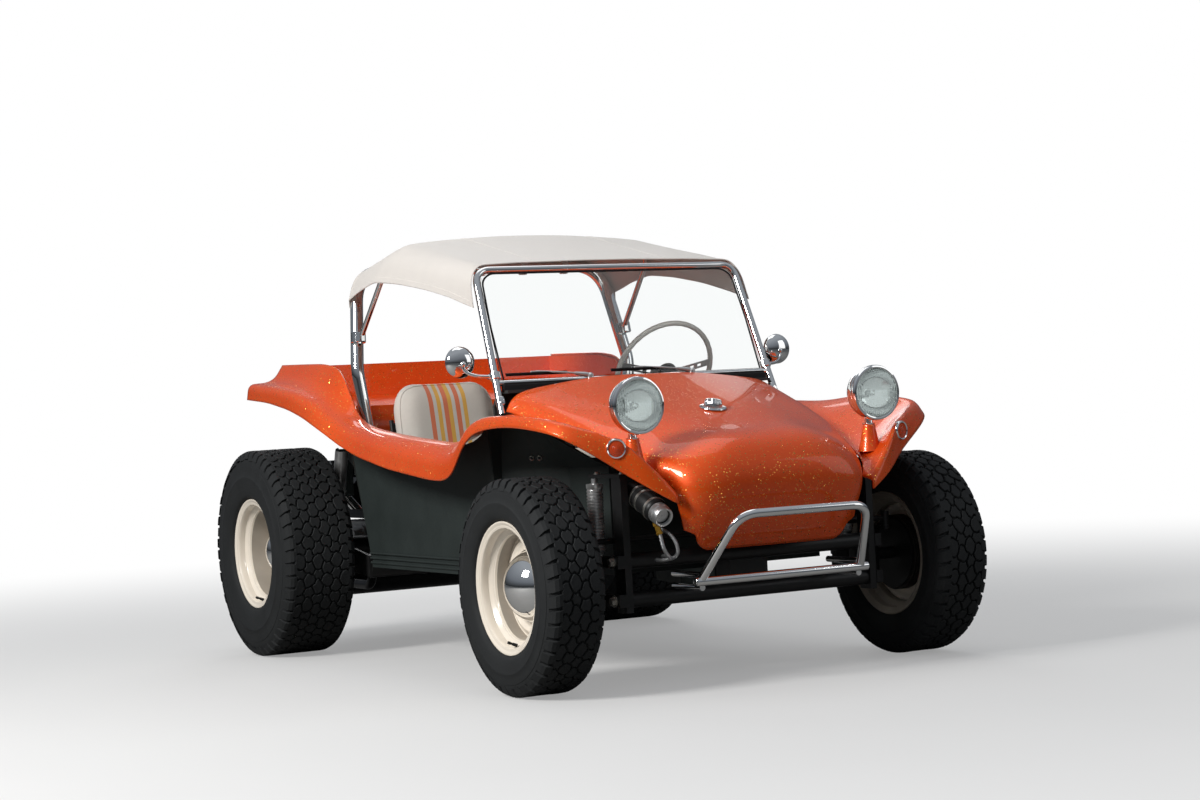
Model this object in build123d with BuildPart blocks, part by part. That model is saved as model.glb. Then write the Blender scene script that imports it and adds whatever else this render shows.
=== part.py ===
from build123d import *
from math import cos, hypot, radians, sin
import os

os.makedirs("parts", exist_ok=True)

# Open two-seat dune buggy on a shortened floor pan, millimetres.
# +X is the vehicle's left, the front faces -Y, +Z is up, the ground is Z = 0.
# A station is the distance behind the front axle.
WHEELBASE = 2032.0
FRONT_AXLE_Y = -1080.0
FRONT_RADIUS = 338.6
REAR_RADIUS = 391.6

# Wheels: x of the wheel's middle plane, half width of tyre and rim, disc offset from the middle plane
FRONT_WHEEL = {"x": 715.0, "radius": FRONT_RADIUS, "half": 103.0, "rim_half": 85.0, "disc": -2.0,
               "cap_radius": 112.0}
REAR_WHEEL = {"x": 732.0, "radius": REAR_RADIUS, "half": 145.0, "rim_half": 125.0, "disc": -9.0,
              "cap_radius": 112.0}
BEAD_RADIUS = 190.5
LIP_RADIUS = 207.5
RIM_SHEET = 6.0

# Front suspension and steering
KINGPIN_X = 575.0
STEER_ARM = -85.0
ARM_Z = 440.0
TIE_ROD_Z = 462.0
BEAM_STATION = -140.0
BEAM_X = 470.0
BEAM_TUBE_R = 25.0
BEAM_SPACING = 120.0
PITMAN_X = 300.0
BOX_FOOT = 492.0
COLUMN_ANGLE = 28.0
WHEEL_CENTRE = (330.0, 900.0, 995.0)
WHEEL_RIM_R = 192.0
UP_COLUMN = Vector(0, cos(radians(COLUMN_ANGLE)), sin(radians(COLUMN_ANGLE)))

# Body
SKIN = 8.0
PANEL = 10.0
FLOOR_Z = 345.0
SILL_Z = 372.0
TUB_REAR = 2290.0


def at(station):
    return FRONT_AXLE_Y + station


def spot(x, station, z):
    return (x, at(station), z)


def keep(builder, label):
    builder.part.label = label
    export_step(builder.part, f"parts/{label}.step")


def chain_offset(points, distance):
    """Points of a chain moved to its right-hand side by a distance."""
    moved = []
    for i, (x, z) in enumerate(points):
        before = points[max(i - 1, 0)]
        after = points[min(i + 1, len(points) - 1)]
        run, rise = after[0] - before[0], after[1] - before[1]
        size = hypot(run, rise)
        moved.append((x + rise / size * distance, z - run / size * distance))
    return moved


# Ribs of a body side: inner edge A, bend M (share of the way from A to B, height), crest B,
# flange edge C (reach past B, height)
# ax, a_station, az, m_share, mz, bx, b_station, bz, c_reach, cz
RIBS = (
    (350, -290, 615, 0.50, 610, 362, -334, 600, 2, 574),
    (378, -262, 655, 0.50, 662, 420, -319, 682, 2, 607),
    (398, -215, 672, 0.50, 690, 470, -301, 742, 3, 643),
    (418, -160, 688, 0.50, 715, 512, -271, 793, -4, 672),
    (440, -95, 705, 0.50, 738, 575, -246, 822, 6, 724),
    (458, -35, 724, 0.50, 765, 645, -204, 844, 28, 782),
    (464, -8, 733, 0.50, 776, 672, -168, 852, 36, 806),
    (470, 25, 745, 0.50, 790, 690, -105, 861, 26, 815),
    (480, 90, 768, 0.50, 812, 704, 0, 870, 14, 828),
    (490, 165, 795, 0.50, 838, 709, 130, 875, 10, 834),
    (503, 260, 828, 0.50, 852, 710, 257, 875, 10, 829),
    (517, 350, 856, 0.50, 864, 710, 354, 862, 10, 815),
    (530, 430, 880, 0.50, 868, 711, 426, 838, 10, 780),
    (545, 490, 868, 0.50, 842, 712, 470, 795, 9, 735),
    (562, 545, 835, 0.50, 806, 712, 515, 755, 9, 683),
    (580, 600, 806, 0.50, 790, 710, 575, 740, 11, 661),
    (600, 700, 783, 0.45, 784, 705, 700, 742, 16, 667),
    (600, 1040, 810, 0.45, 812, 703, 1040, 778, 18, 704),
    (600, 1300, 835, 0.45, 840, 703, 1300, 815, 18, 748),
    (600, 1450, 857, 0.45, 863, 705, 1450, 845, 22, 790),
    (600, 1560, 900, 0.40, 893, 712, 1560, 888, 26, 835),
    (600, 1640, 1010, 0.35, 930, 722, 1640, 925, 24, 865),
    (600, 1720, 1080, 0.35, 970, 732, 1720, 958, 16, 893),
    (600, 1860, 1098, 0.35, 1005, 740, 1870, 995, 10, 930),
    (600, 2060, 1104, 0.30, 1030, 742, 2080, 1022, 9, 962),
    (600, 2290, 1110, 0.30, 1045, 742, 2300, 1040, 9, 979),
)


def rib_plane(rib, side):
    """Upright plane through a rib's inner edge and crest, its x axis pointing outwards."""
    ax, a_station, _, _, _, bx, b_station, _, _, _ = rib
    run, reach = side * (bx - ax), b_station - a_station
    outwards = Vector(run, reach, 0).normalized()
    return Plane(origin=spot(side * ax, a_station, 0), x_dir=outwards,
                 z_dir=outwards.cross(Vector(0, 0, 1)))


def rib_points(rib):
    """Outer chain of a rib in its own plane, from the inner edge to the flange's edge."""
    ax, a_station, az, m_share, mz, bx, b_station, bz, c_reach, cz = rib
    width = hypot(bx - ax, b_station - a_station)
    return [(0.0, az), (width * m_share, mz), (width, bz), (width + c_reach, cz)]


# Body sides: front fender with its headlight post, side pod and rear fender in one moulding
POST_TOP, POST_FOOT = 780.0, 688.0
MARKER = (529.0, -262.0, 752.0)
MARKER_R = 32.0
for side, hand in ((1, "left"), (-1, "right")):
    marker_face = Plane(origin=spot(side * MARKER[0], MARKER[1], MARKER[2]), x_dir=(0, 0, 1),
                        z_dir=(side * 0.37, -0.93, -0.02))
    with BuildPart() as body_side:
        for rib in RIBS:
            outer = rib_points(rib)
            inner = chain_offset(outer, SKIN)
            with BuildSketch(rib_plane(rib, side)):
                with BuildLine():
                    Polyline(*outer, *reversed(inner), close=True)
                make_face()
        loft(ruled=True)
        with Locations(spot(side * 441, -212, (POST_TOP + POST_FOOT) / 2)):
            Cone(36, 19, POST_TOP - POST_FOOT)
        with BuildSketch(marker_face):
            Circle(MARKER_R + 0.5)
        extrude(amount=25, both=True, mode=Mode.SUBTRACT)
    keep(body_side, f"body_side_{hand}")

# Hood: the side profile and the plan of the nose, cut from each other
HOOD_REAR = 470.0
# station, z along the centre line
HOOD_TOP = ((HOOD_REAR, 985), (30, 857), (-248, 776))
HOOD_NOSE = ((-248, 776), (-352, 737), (-385, 650))
HOOD_CHIN = ((-385, 650), (-352, 520), (-275, 420))
# the edge where the hood ends at the fenders and the cowl
HOOD_EDGE = ((-285, 585), (-240, 655), (-120, 690), (HOOD_REAR, 880))
# station, half width at the shoulder, half width at the foot, z of the shoulder, z at the middle
HOOD_SECTIONS = (
    (HOOD_REAR, 530, 530, 930, 990),
    (300, 502, 502, 884, 940),
    (150, 482, 482, 838, 898),
    (0, 460, 460, 784, 858),
    (-120, 426, 410, 730, 824),
    (-250, 374, 310, 690, 795),
    (-330, 346, 284, 640, 790),
    (-400, 326, 268, 620, 785),
)
HOOD_FOOT = 420.0


def hood_section(half, foot_half, shoulder, middle, inset):
    """Cross-section of the hood's outer body, moved inwards by inset."""
    top, low = half - inset, foot_half - inset
    Polyline((-top, shoulder - inset), (-low, HOOD_FOOT), (-low, HOOD_FOOT - 100), (low, HOOD_FOOT - 100),
             (low, HOOD_FOOT), (top, shoulder - inset))
    ThreePointArc((-top, shoulder - inset), (0, middle - inset), (top, shoulder - inset))


with BuildPart() as hood_sides:
    for station, *section in HOOD_SECTIONS:
        with BuildSketch(Plane.XZ.offset(-at(station))):
            with BuildLine():
                hood_section(*section, 0.0)
            make_face()
    loft(ruled=True)

with BuildPart() as hood_sides_inner:
    for station, *section in HOOD_SECTIONS:
        with BuildSketch(Plane.XZ.offset(-at(station))):
            with BuildLine():
                hood_section(*section, SKIN)
            make_face()
    loft(ruled=True)


def hood_profile(inset):
    """Side profile of the hood on the YZ plane, moved inwards by inset."""
    top = [(at(s), z - inset) for s, z in HOOD_TOP]
    nose = [(at(s) + inset, z - inset) for s, z in HOOD_NOSE]
    chin = [(at(s) + inset, z) for s, z in HOOD_CHIN]
    ThreePointArc(*top)
    ThreePointArc(top[-1], nose[1], chin[0])
    ThreePointArc(*chin)
    edge = [(at(s), z - inset) for s, z in HOOD_EDGE]
    Polyline(chin[-1], *edge, top[0])


with BuildPart() as hood_core:
    with BuildSketch(Plane.YZ.offset(-600)):
        with BuildLine():
            hood_profile(SKIN)
        make_face()
    extrude(amount=1200)
    add(hood_sides_inner.part, mode=Mode.INTERSECT)

with BuildPart() as hood:
    with BuildSketch(Plane.YZ.offset(-600)):
        with BuildLine():
            hood_profile(0.0)
        make_face()
    extrude(amount=1200)
    add(hood_sides.part, mode=Mode.INTERSECT)
    add(hood_core.part, mode=Mode.SUBTRACT)
    with Locations(Plane(origin=spot(0, 30, 857), x_dir=(1, 0, 0), z_dir=(0, -0.256, 1))):
        Cylinder(30, 60, mode=Mode.SUBTRACT)
keep(hood, "hood")


# Footwell: front bulkhead and the two walls behind it, under the fenders
# station, x at the foot, x and z at the top
FOOTWELL = ((40, 392, 460, 722), (165, 392, 478, 768), (300, 395, 490, 812), (400, 470, 508, 836),
            (490, 552, 541, 846))
FOOT_Z, BEND_Z = FLOOR_Z + 12, 690.0
with BuildPart() as footwell:
    for side in (1, -1):
        for near, far in zip(FOOTWELL, FOOTWELL[1:]):
            for station, foot_x, top_x, top_z in (near, far):
                with BuildSketch(Plane.XZ.offset(-at(station))):
                    with BuildLine():
                        Polyline((side * foot_x, FOOT_Z), (side * foot_x, BEND_Z), (side * top_x, top_z),
                                 (side * (top_x - PANEL), top_z), (side * (foot_x - PANEL), BEND_Z),
                                 (side * (foot_x - PANEL), FOOT_Z), close=True)
                    make_face()
            loft(ruled=True)
    front_x, front_top_x, front_top_z = FOOTWELL[0][1:]
    with BuildSketch(Plane.XZ.offset(-at(FOOTWELL[0][0]))):
        with BuildLine():
            Polyline((-front_x, FOOT_Z), (-front_x, BEND_Z), (-front_top_x, front_top_z),
                     (front_top_x, front_top_z), (front_x, BEND_Z), (front_x, FOOT_Z), close=True)
        make_face()
    extrude(amount=-PANEL)
    with BuildSketch(Plane(origin=spot(*WHEEL_CENTRE), x_dir=(1, 0, 0), z_dir=UP_COLUMN).offset(-1020)):
        Circle(24)
    extrude(amount=120, mode=Mode.SUBTRACT)
keep(footwell, "footwell")

# Side panels between the sill and the pod
# station at the foot, station at the top, z at the top
SIDE_PANEL = ((492, 492, 838), (545, 545, 806), (600, 600, 788), (700, 700, 773), (1040, 1040, 800),
              (1300, 1300, 825), (1450, 1450, 846), (1540, 1540, 858), (1590, 1675, 858))
for side, hand in ((1, "left"), (-1, "right")):
    with BuildPart() as side_panel:
        for station_foot, station_top, top_z in SIDE_PANEL:
            lean = (station_top - station_foot) / (top_z - SILL_Z)
            slope = Plane(origin=spot(0, station_foot - lean * SILL_Z, 0), x_dir=(1, 0, 0),
                          z_dir=(0, -1, lean))
            stretch = hypot(1, lean)
            with BuildSketch(slope):
                with BuildLine():
                    Polyline((side * 562, SILL_Z * stretch), (side * 592, top_z * stretch),
                             (side * (592 - PANEL), top_z * stretch),
                             (side * (562 - PANEL), SILL_Z * stretch), close=True)
                make_face()
        loft(ruled=True)
    keep(side_panel, f"side_panel_{hand}")

# Floor pan: flat floor with side rails, central tunnel, and the frame head in front
FLOOR_REAR = 1580.0
with BuildPart() as floor_pan:
    with BuildSketch(Plane.XY.offset(FLOOR_Z)):
        with BuildLine():
            half_outline = [(562, at(FLOOR_REAR)), (562, at(500)), (470, at(400)), (392, at(300)), (392, at(40))]
            Polyline(*half_outline, *[(-x, y) for x, y in reversed(half_outline)], close=True)
        make_face()
    extrude(amount=12)
    for side in (1, -1):
        with BuildSketch(Plane.XZ.offset(-at(500))):
            with Locations((side * 545, SILL_Z - 20)):
                Rectangle(34, 40)
        extrude(amount=-(FLOOR_REAR - 500))
    with BuildSketch(Plane.XZ.offset(-at(52))):
        with BuildLine():
            Polyline((-80, FLOOR_Z), (-60, FLOOR_Z + 130), (60, FLOOR_Z + 130), (80, FLOOR_Z), close=True)
        make_face()
    extrude(amount=-(FLOOR_REAR - 52))
    with BuildSketch(Plane.XY.offset(FLOOR_Z - 50)):
        with BuildLine():
            Polyline((-150, at(40)), (-75, at(-50)), (75, at(-50)), (150, at(40)), (90, at(300)),
                     (-90, at(300)), close=True)
        make_face()
    extrude(amount=50)
keep(floor_pan, "floor_pan")

# Rear tub: bulkhead behind the seats, deck over the gearbox, tail wall and the side linings
DECK_Z, BULKHEAD_FOOT, BULKHEAD_TOP = 800.0, 1582.0, 1682.0
LINING_X = 586.0
bulkhead_rise = Vector(0, BULKHEAD_TOP - BULKHEAD_FOOT, DECK_Z - FLOOR_Z)
with BuildPart() as rear_tub:
    with BuildSketch(Plane(origin=spot(0, BULKHEAD_FOOT, FLOOR_Z), x_dir=(1, 0, 0),
                           z_dir=Vector(1, 0, 0).cross(bulkhead_rise.normalized()))):
        with BuildLine():
            Polyline((-548, 0), (548, 0), (575, bulkhead_rise.length), (-575, bulkhead_rise.length), close=True)
        make_face()
    extrude(amount=-PANEL)
    with BuildSketch(Plane.YZ.offset(-LINING_X)):
        with BuildLine():
            Polyline((at(BULKHEAD_TOP), DECK_Z - PANEL), (at(TUB_REAR), DECK_Z - PANEL), (at(TUB_REAR), 1105),
                     (at(TUB_REAR - PANEL), 1105), (at(TUB_REAR - PANEL), DECK_Z), (at(BULKHEAD_TOP), DECK_Z),
                     close=True)
        make_face()
    extrude(amount=2 * LINING_X)
    for side in (1, -1):
        with BuildSketch(Plane.YZ.offset(side * LINING_X)):
            with BuildLine():
                Polyline((at(1470), 858), (at(1570), 880), (at(1640), 975), (at(1725), 1064), (at(1860), 1086),
                         (at(TUB_REAR), 1101), (at(TUB_REAR), DECK_Z - PANEL), (at(BULKHEAD_TOP), DECK_Z - PANEL),
                         (at(BULKHEAD_TOP), 858.5), (at(1540), 858.5), close=True)
            make_face()
        extrude(amount=side * 9)
keep(rear_tub, "rear_tub")

# Cowl: dash panel with a rolled lower edge, under the rear of the hood
with BuildPart() as cowl:
    with BuildSketch(Plane.YZ.offset(-515)):
        with BuildLine():
            Polyline((at(480), 952), (at(560), 950), (at(600), 900), (at(585), 760), (at(560), 745),
                     (at(553), 752), (at(575), 768), (at(588), 898), (at(553), 940), (at(480), 942),
                     close=True)
        make_face()
    extrude(amount=1030)
    with BuildSketch(Plane(origin=spot(*WHEEL_CENTRE), x_dir=(1, 0, 0), z_dir=UP_COLUMN).offset(-600)):
        Circle(24)
    extrude(amount=500, mode=Mode.SUBTRACT)
keep(cowl, "cowl")


def tube(path_points, radius, bend):
    """Bent round tube along straight runs joined by arcs, made as an object to be added."""
    with BuildLine(mode=Mode.PRIVATE) as path:
        if len(path_points) > 2:
            FilletPolyline(*path_points, radius=bend)
        else:
            Line(*path_points)
    wire = path.wires()[0]
    with BuildSketch(Plane(origin=wire @ 0, z_dir=wire % 0), mode=Mode.PRIVATE) as ring:
        Circle(radius)
    return sweep(ring.sketch, path=wire, mode=Mode.PRIVATE)


# Windshield: one bent frame tube with its feet on the cowl, and a flat pane
PILLAR_FOOT = (541.0, 478.0, 872.0)
PILLAR_TOP = (514.0, 688.0, 1365.0)
FRAME_R = 12.5
foot_l, foot_r = spot(*PILLAR_FOOT), spot(-PILLAR_FOOT[0], *PILLAR_FOOT[1:])
top_l, top_r = spot(*PILLAR_TOP), spot(-PILLAR_TOP[0], *PILLAR_TOP[1:])
SILL_BAR = (526.0, 522.0, 976.0)
frame_loop = tube([foot_l, top_l, top_r, foot_r], FRAME_R, 55)
frame_sill = tube([spot(-SILL_BAR[0], *SILL_BAR[1:]), spot(*SILL_BAR)], 10, 0)
with BuildPart() as windshield_frame:
    add(frame_loop)
    add(frame_sill)
keep(windshield_frame, "windshield_frame")

GLASS_LIP = 13.0
rise = Vector(0, PILLAR_TOP[1] - SILL_BAR[1], PILLAR_TOP[2] - SILL_BAR[2])
glass_height = rise.length
with BuildPart() as windshield_glass:
    with BuildSketch(Plane(origin=spot(0, *SILL_BAR[1:]), x_dir=(1, 0, 0),
                           z_dir=Vector(1, 0, 0).cross(rise.normalized()))):
        with BuildLine():
            Polyline((-SILL_BAR[0] + GLASS_LIP, 11), (SILL_BAR[0] - GLASS_LIP, 11),
                     (PILLAR_TOP[0] - GLASS_LIP, glass_height - 14),
                     (-PILLAR_TOP[0] + GLASS_LIP, glass_height - 14), close=True)
        make_face()
        fillet(vertices().group_by(Axis.Y)[-1], 45)
    extrude(amount=2.5, both=True)
keep(windshield_glass, "windshield_glass")

# Roll bar behind the seats, and the thinner canopy bow hinged on it
ROLL_R = 24.0
ROLL_TOP_Z, ROLL_TOP_STATION, ROLL_TOP_X = 1437.0, 1690.0, 518.0
ROLL_FOOT = (499.0, 1538.0, FLOOR_Z + 24)
roll_half = [ROLL_FOOT, (575, 1597, 1060), (ROLL_TOP_X, ROLL_TOP_STATION, ROLL_TOP_Z)]
roll_path = [spot(*p) for p in roll_half] + [spot(-x, s, z) for x, s, z in reversed(roll_half)]
roll_tube = tube(roll_path, ROLL_R, [150, 165, 165, 150])
roll_feet = [Pos(*spot(side * ROLL_FOOT[0], 1530, FLOOR_Z + 18)) * Box(56, 76, 12) for side in (1, -1)]
with BuildPart() as roll_bar:
    add(roll_tube)
    add(roll_feet)
keep(roll_bar, "roll_bar")

bow_half = [(558, 1584, 1183), (543, 1340, 1440), (455, 1306, 1494)]
bow_path = ([spot(*p) for p in bow_half] + [spot(0, 1290, 1515)]
            + [spot(-x, s, z) for x, s, z in reversed(bow_half)])
bow_tube = tube(bow_path, 10, [60, 60, 800, 60, 60])
with BuildPart() as top_bow:
    add(bow_tube)
keep(top_bow, "top_bow")

# Canopy: one sheet stretched over the windshield frame, the bow and the roll bar
CANVAS = 4.0
# station at the side edge, station at the top, half width, z of the side edge,
# x and z of the shoulder, z at the middle
CANOPY = (
    (640, 690, 547, 1236, 500, 1384, 1393),
    (790, 810, 552, 1278, 494, 1409, 1421),
    (990, 960, 560, 1320, 487, 1440, 1457),
    (1200, 1140, 567, 1354, 478, 1477, 1499),
    (1393, 1290, 576, 1375, 474, 1509, 1534),
    (1530, 1503, 572, 1356, 450, 1485, 1506),
    (1655, 1716, 568, 1325, 430, 1462, 1478),
)
with BuildPart() as canopy:
    for edge_station, top_station, half, edge_z, shoulder_x, shoulder_z, middle_z in CANOPY:
        lean = (top_station - edge_station) / (middle_z - edge_z)
        stretch = hypot(1, lean)
        leaning = Plane(origin=spot(0, edge_station - lean * edge_z, 0), x_dir=(1, 0, 0),
                        z_dir=(0, -1, lean))
        with BuildSketch(leaning):
            with BuildLine():
                for inset in (0, CANVAS):
                    low, mid = (half - inset, edge_z), (shoulder_x - 0.7 * inset, shoulder_z - 0.8 * inset)
                    top = (0, middle_z - inset)
                    bulge = (low[0] * 0.6 + mid[0] * 0.4 + 8, low[1] * 0.35 + mid[1] * 0.65)
                    right = [(x, z * stretch) for x, z in (low, bulge, mid)]
                    left = [(-x, z * stretch) for x, z in (mid, bulge, low)]
                    ThreePointArc(*right)
                    ThreePointArc(right[-1], (0, top[1] * stretch), left[0])
                    ThreePointArc(*left)
                for side in (1, -1):
                    Line((side * half, edge_z * stretch), (side * (half - CANVAS), edge_z * stretch))
            make_face()
    loft(ruled=True)
keep(canopy, "canopy")

# Bumpers of bent tube
BUMPER_R = 14.0
front_hoop = tube([spot(-296, -333, 336), spot(-233, -478, 535), spot(233, -478, 535),
                   spot(296, -333, 336)], BUMPER_R, 55)
front_bar = tube([spot(-318, -335, 331), spot(318, -335, 331)], BUMPER_R, 0)
front_arms = [tube([spot(side * 290, -330, z), spot(side * 290, BEAM_STATION - 20, z)], 10, 0)
              for side in (1, -1) for z in (312, 350)]
with BuildPart() as front_bumper:
    add(front_bar)
    add(front_hoop)
    add(front_arms)
keep(front_bumper, "front_bumper")

rear_hoop = tube([spot(-330, 2612, 420), spot(-300, 2640, 640), spot(300, 2640, 640),
                  spot(330, 2612, 420)], BUMPER_R, 70)
rear_bar = tube([spot(-400, 2612, 410), spot(400, 2612, 410)], BUMPER_R, 0)
rear_arms = [tube([spot(side * 150, 2612, 405), spot(side * 150, 2590, 300), spot(side * 150, 2162, 300)],
                  12, 45) for side in (1, -1)]
with BuildPart() as rear_bumper:
    add(rear_bar)
    add(rear_hoop)
    add(rear_arms)
keep(rear_bumper, "rear_bumper")

# Headlights on stalks
LAMP = (442.0, -262.0, 879.0)
LAMP_R, LAMP_DEPTH = 90.0, 105.0
buckets, lenses, stalks = [], [], []
for side in (1, -1):
    face = Plane(origin=spot(side * LAMP[0], LAMP[1], LAMP[2]), x_dir=(1, 0, 0), z_dir=(0, -1, 0))
    with BuildPart(mode=Mode.PRIVATE) as bucket:
        with BuildSketch(Plane(origin=face.origin, x_dir=(1, 0, 0), z_dir=(0, 0, 1))):
            with BuildLine():
                Polyline((0, 6), (80, 6), (80, -4), (LAMP_R - 3, -3), (LAMP_R, 8), (LAMP_R - 4, 32),
                         (LAMP_R - 15, 58), (LAMP_R - 38, 84), (LAMP_R - 68, 100), (0, LAMP_DEPTH), close=True)
            make_face()
        revolve(axis=Axis(face.origin, (0, 1, 0)))
    buckets.append(bucket.part)
    with BuildPart(mode=Mode.PRIVATE) as lens:
        with BuildSketch(Plane(origin=face.origin, x_dir=(1, 0, 0), z_dir=(0, 0, 1))):
            with BuildLine():
                Line((0, 5.5), (79.5, 5.5))
                Line((79.5, 5.5), (79.5, 0))
                Line((79.5, 0), (62, -6))
                Line((62, -6), (34, -11))
                Line((34, -11), (0, -13))
                Line((0, -13), (0, 5.5))
            make_face()
        revolve(axis=Axis(face.origin, (0, 1, 0)))
    lenses.append(lens.part)
    stalks.append(Pos(*spot(side * 441, -212, POST_TOP + 10)) * Cylinder(13, 20))
with BuildPart() as headlights:
    add(buckets)
    add(stalks)
keep(headlights, "headlights")
with BuildPart() as headlight_lenses:
    add(lenses)
keep(headlight_lenses, "headlight_lenses")

# Marker lights on the front fenders' faces, tail lights on the tail wall
marker_set = []
for side in (1, -1):
    face = Plane(origin=spot(side * MARKER[0], MARKER[1], MARKER[2]), z_dir=(side * 0.37, -0.93, -0.02))
    marker_set.append(face * (Pos(0, 0, -7) * Cylinder(MARKER_R, 28)))
with BuildPart() as marker_lights:
    add(marker_set)
keep(marker_lights, "marker_lights")

tail_set = [Pos(*spot(side * 480, TUB_REAR + 17.5, 985)) * Rot(90, 0, 0) * Cylinder(42, 34) for side in (1, -1)]
with BuildPart() as tail_lights:
    add(tail_set)
keep(tail_lights, "tail_lights")

# Round mirrors on arms clamped to the pillars
MIRROR = (627.0, 591.0, 1053.0)
mirror_set = []
for side in (1, -1):
    x, station, z = side * MIRROR[0], MIRROR[1], MIRROR[2]
    mirror_set.append(Pos(*spot(x, station, z)) * Rot(90, 0, 0) * Cone(54, 30, 30))
    mirror_set.append(tube([spot(side * 550, 536, 1000), spot(side * 588, 552, 1006),
                            spot(x, station - 8, z - 30)], 6, 12))
    mirror_set.append(Pos(*spot(side * 533, 533, 1000)) * Cylinder(19, 26) - frame_loop)
with BuildPart() as mirrors:
    add(mirror_set)
keep(mirrors, "mirrors")

# Wipers: pivots in front of the windshield, arm and blade
wiper_set = []
for x in (-200, 200):
    wiper_set.append(Pos(*spot(x, 484, 975)) * Cylinder(12, 40))
    wiper_set.append(tube([spot(x, 486, 992), spot(x - 190, 520, 1010)], 4, 0))
    wiper_set.append(tube([spot(x - 190, 504, 992), spot(x - 190, 504, 1000)], 4, 0))
    wiper_set.append(Pos(*spot(x - 190, 508, 1006)) * Box(230, 8, 10))
with BuildPart() as wipers:
    add(wiper_set)
keep(wipers, "wipers")

# Fuel filler: a neck through the hood, a flange on it and the cap
FILLER_STATION, FILLER_Z, HOOD_SLOPE = 30.0, 857.0, 0.256
filler_seat = Plane(origin=spot(0, FILLER_STATION, FILLER_Z), x_dir=(1, 0, 0), z_dir=(0, -HOOD_SLOPE, 1))
with BuildPart() as fuel_filler:
    with BuildSketch(filler_seat.offset(-40)):
        Circle(29.5)
    extrude(amount=45)
    with BuildSketch(filler_seat.offset(2)):
        Circle(45)
    extrude(amount=5)
    with BuildSketch(filler_seat.offset(7)):
        Circle(31)
    extrude(amount=22, taper=12)
keep(fuel_filler, "fuel_filler")

# Seats: low bucket seats, one closed shape of back and cushion
SEAT_X, SEAT_WIDTH = 340.0, 410.0
for side, hand in ((1, "left"), (-1, "right")):
    with BuildPart() as seat:
        with BuildSketch(Plane.YZ.offset(side * SEAT_X)):
            with BuildLine():
                Polyline((at(870), 400), (at(860), 545), (at(1240), 520), (at(1330), 1000),
                         (at(1400), 1020), (at(1450), 985), (at(1380), 400), close=True)
            make_face()
            fillet(vertices(), 20)
        extrude(amount=SEAT_WIDTH / 2, both=True)
    keep(seat, f"seat_{hand}")


# Wheels: tyre, and rim with its disc, hub cap and brake drum
def ring_profile(plane_x, centre_z, station, outline, axis_dir=(1, 0, 0)):
    """Revolved solid about a wheel's axle from an outline of (offset from middle plane, radius)."""
    hub = Plane(origin=spot(plane_x, station, centre_z), x_dir=axis_dir, z_dir=(0, -1, 0))
    with BuildPart(mode=Mode.PRIVATE) as turned:
        with BuildSketch(hub):
            with BuildLine():
                Polyline(*outline, close=True)
            make_face()
        revolve(axis=Axis(hub.origin, axis_dir))
    return turned.part


def tyre_outline(wheel):
    half, radius, seat = wheel["half"], wheel["radius"], wheel["rim_half"] - RIM_SHEET
    wall = radius - BEAD_RADIUS
    side = [(seat, BEAD_RADIUS), (seat, LIP_RADIUS), (half, BEAD_RADIUS + 0.45 * wall),
            (half - 9, BEAD_RADIUS + 0.8 * wall), (half - 30, radius)]
    return side + [(-x, r) for x, r in reversed(side)]


def rim_outline(wheel):
    half = wheel["rim_half"]
    outer = [(half, LIP_RADIUS), (half - RIM_SHEET, LIP_RADIUS), (half - RIM_SHEET, BEAD_RADIUS),
             (half - 30, BEAD_RADIUS), (half - 44, 170)]
    inner = [(half - 47, 170 - RIM_SHEET), (half - 33, BEAD_RADIUS - RIM_SHEET), (half, BEAD_RADIUS - RIM_SHEET)]
    return (outer + [(-x, r) for x, r in reversed(outer)] + [(-x, r) for x, r in reversed(inner)]
            + inner)


def disc_outline(wheel):
    disc, cap = wheel["disc"], wheel["cap_radius"]
    barrel = 170 - 0.5 * RIM_SHEET
    return [(disc - RIM_SHEET, 40), (disc - RIM_SHEET, 118), (disc - 12, barrel), (disc - 2, barrel),
            (disc, 124), (disc + 2, cap), (disc + 17, cap * 0.93), (disc + 30, cap * 0.84),
            (disc + 44, cap * 0.71), (disc + 57, cap * 0.54), (disc + 67, cap * 0.34), (disc + 74, 0.0),
            (disc + 5, 0.0), (disc + 5, 40)]


def drum_outline(wheel, depth):
    disc = wheel["disc"] - RIM_SHEET
    return [(disc, 0.0), (disc, 122), (disc - depth, 126), (disc - depth, 0.0)]


DRUM_DEPTH = 44.0
WHEELS = (("front_left", FRONT_WHEEL, 1, 0.0), ("front_right", FRONT_WHEEL, -1, 0.0),
          ("rear_left", REAR_WHEEL, 1, WHEELBASE), ("rear_right", REAR_WHEEL, -1, WHEELBASE))
for place, wheel, side, station in WHEELS:
    outwards = (side, 0, 0)
    middle = (side * wheel["x"], wheel["radius"], station)
    tyre_solid = ring_profile(*middle, tyre_outline(wheel), outwards)
    rim_solids = [ring_profile(*middle, rim_outline(wheel), outwards),
                  ring_profile(*middle, disc_outline(wheel), outwards),
                  ring_profile(*middle, drum_outline(wheel, DRUM_DEPTH), outwards)]
    with BuildPart() as tyre:
        add(tyre_solid)
    keep(tyre, f"tyre_{place}")
    with BuildPart() as rim:
        add(rim_solids)
    keep(rim, f"rim_{place}")

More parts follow.
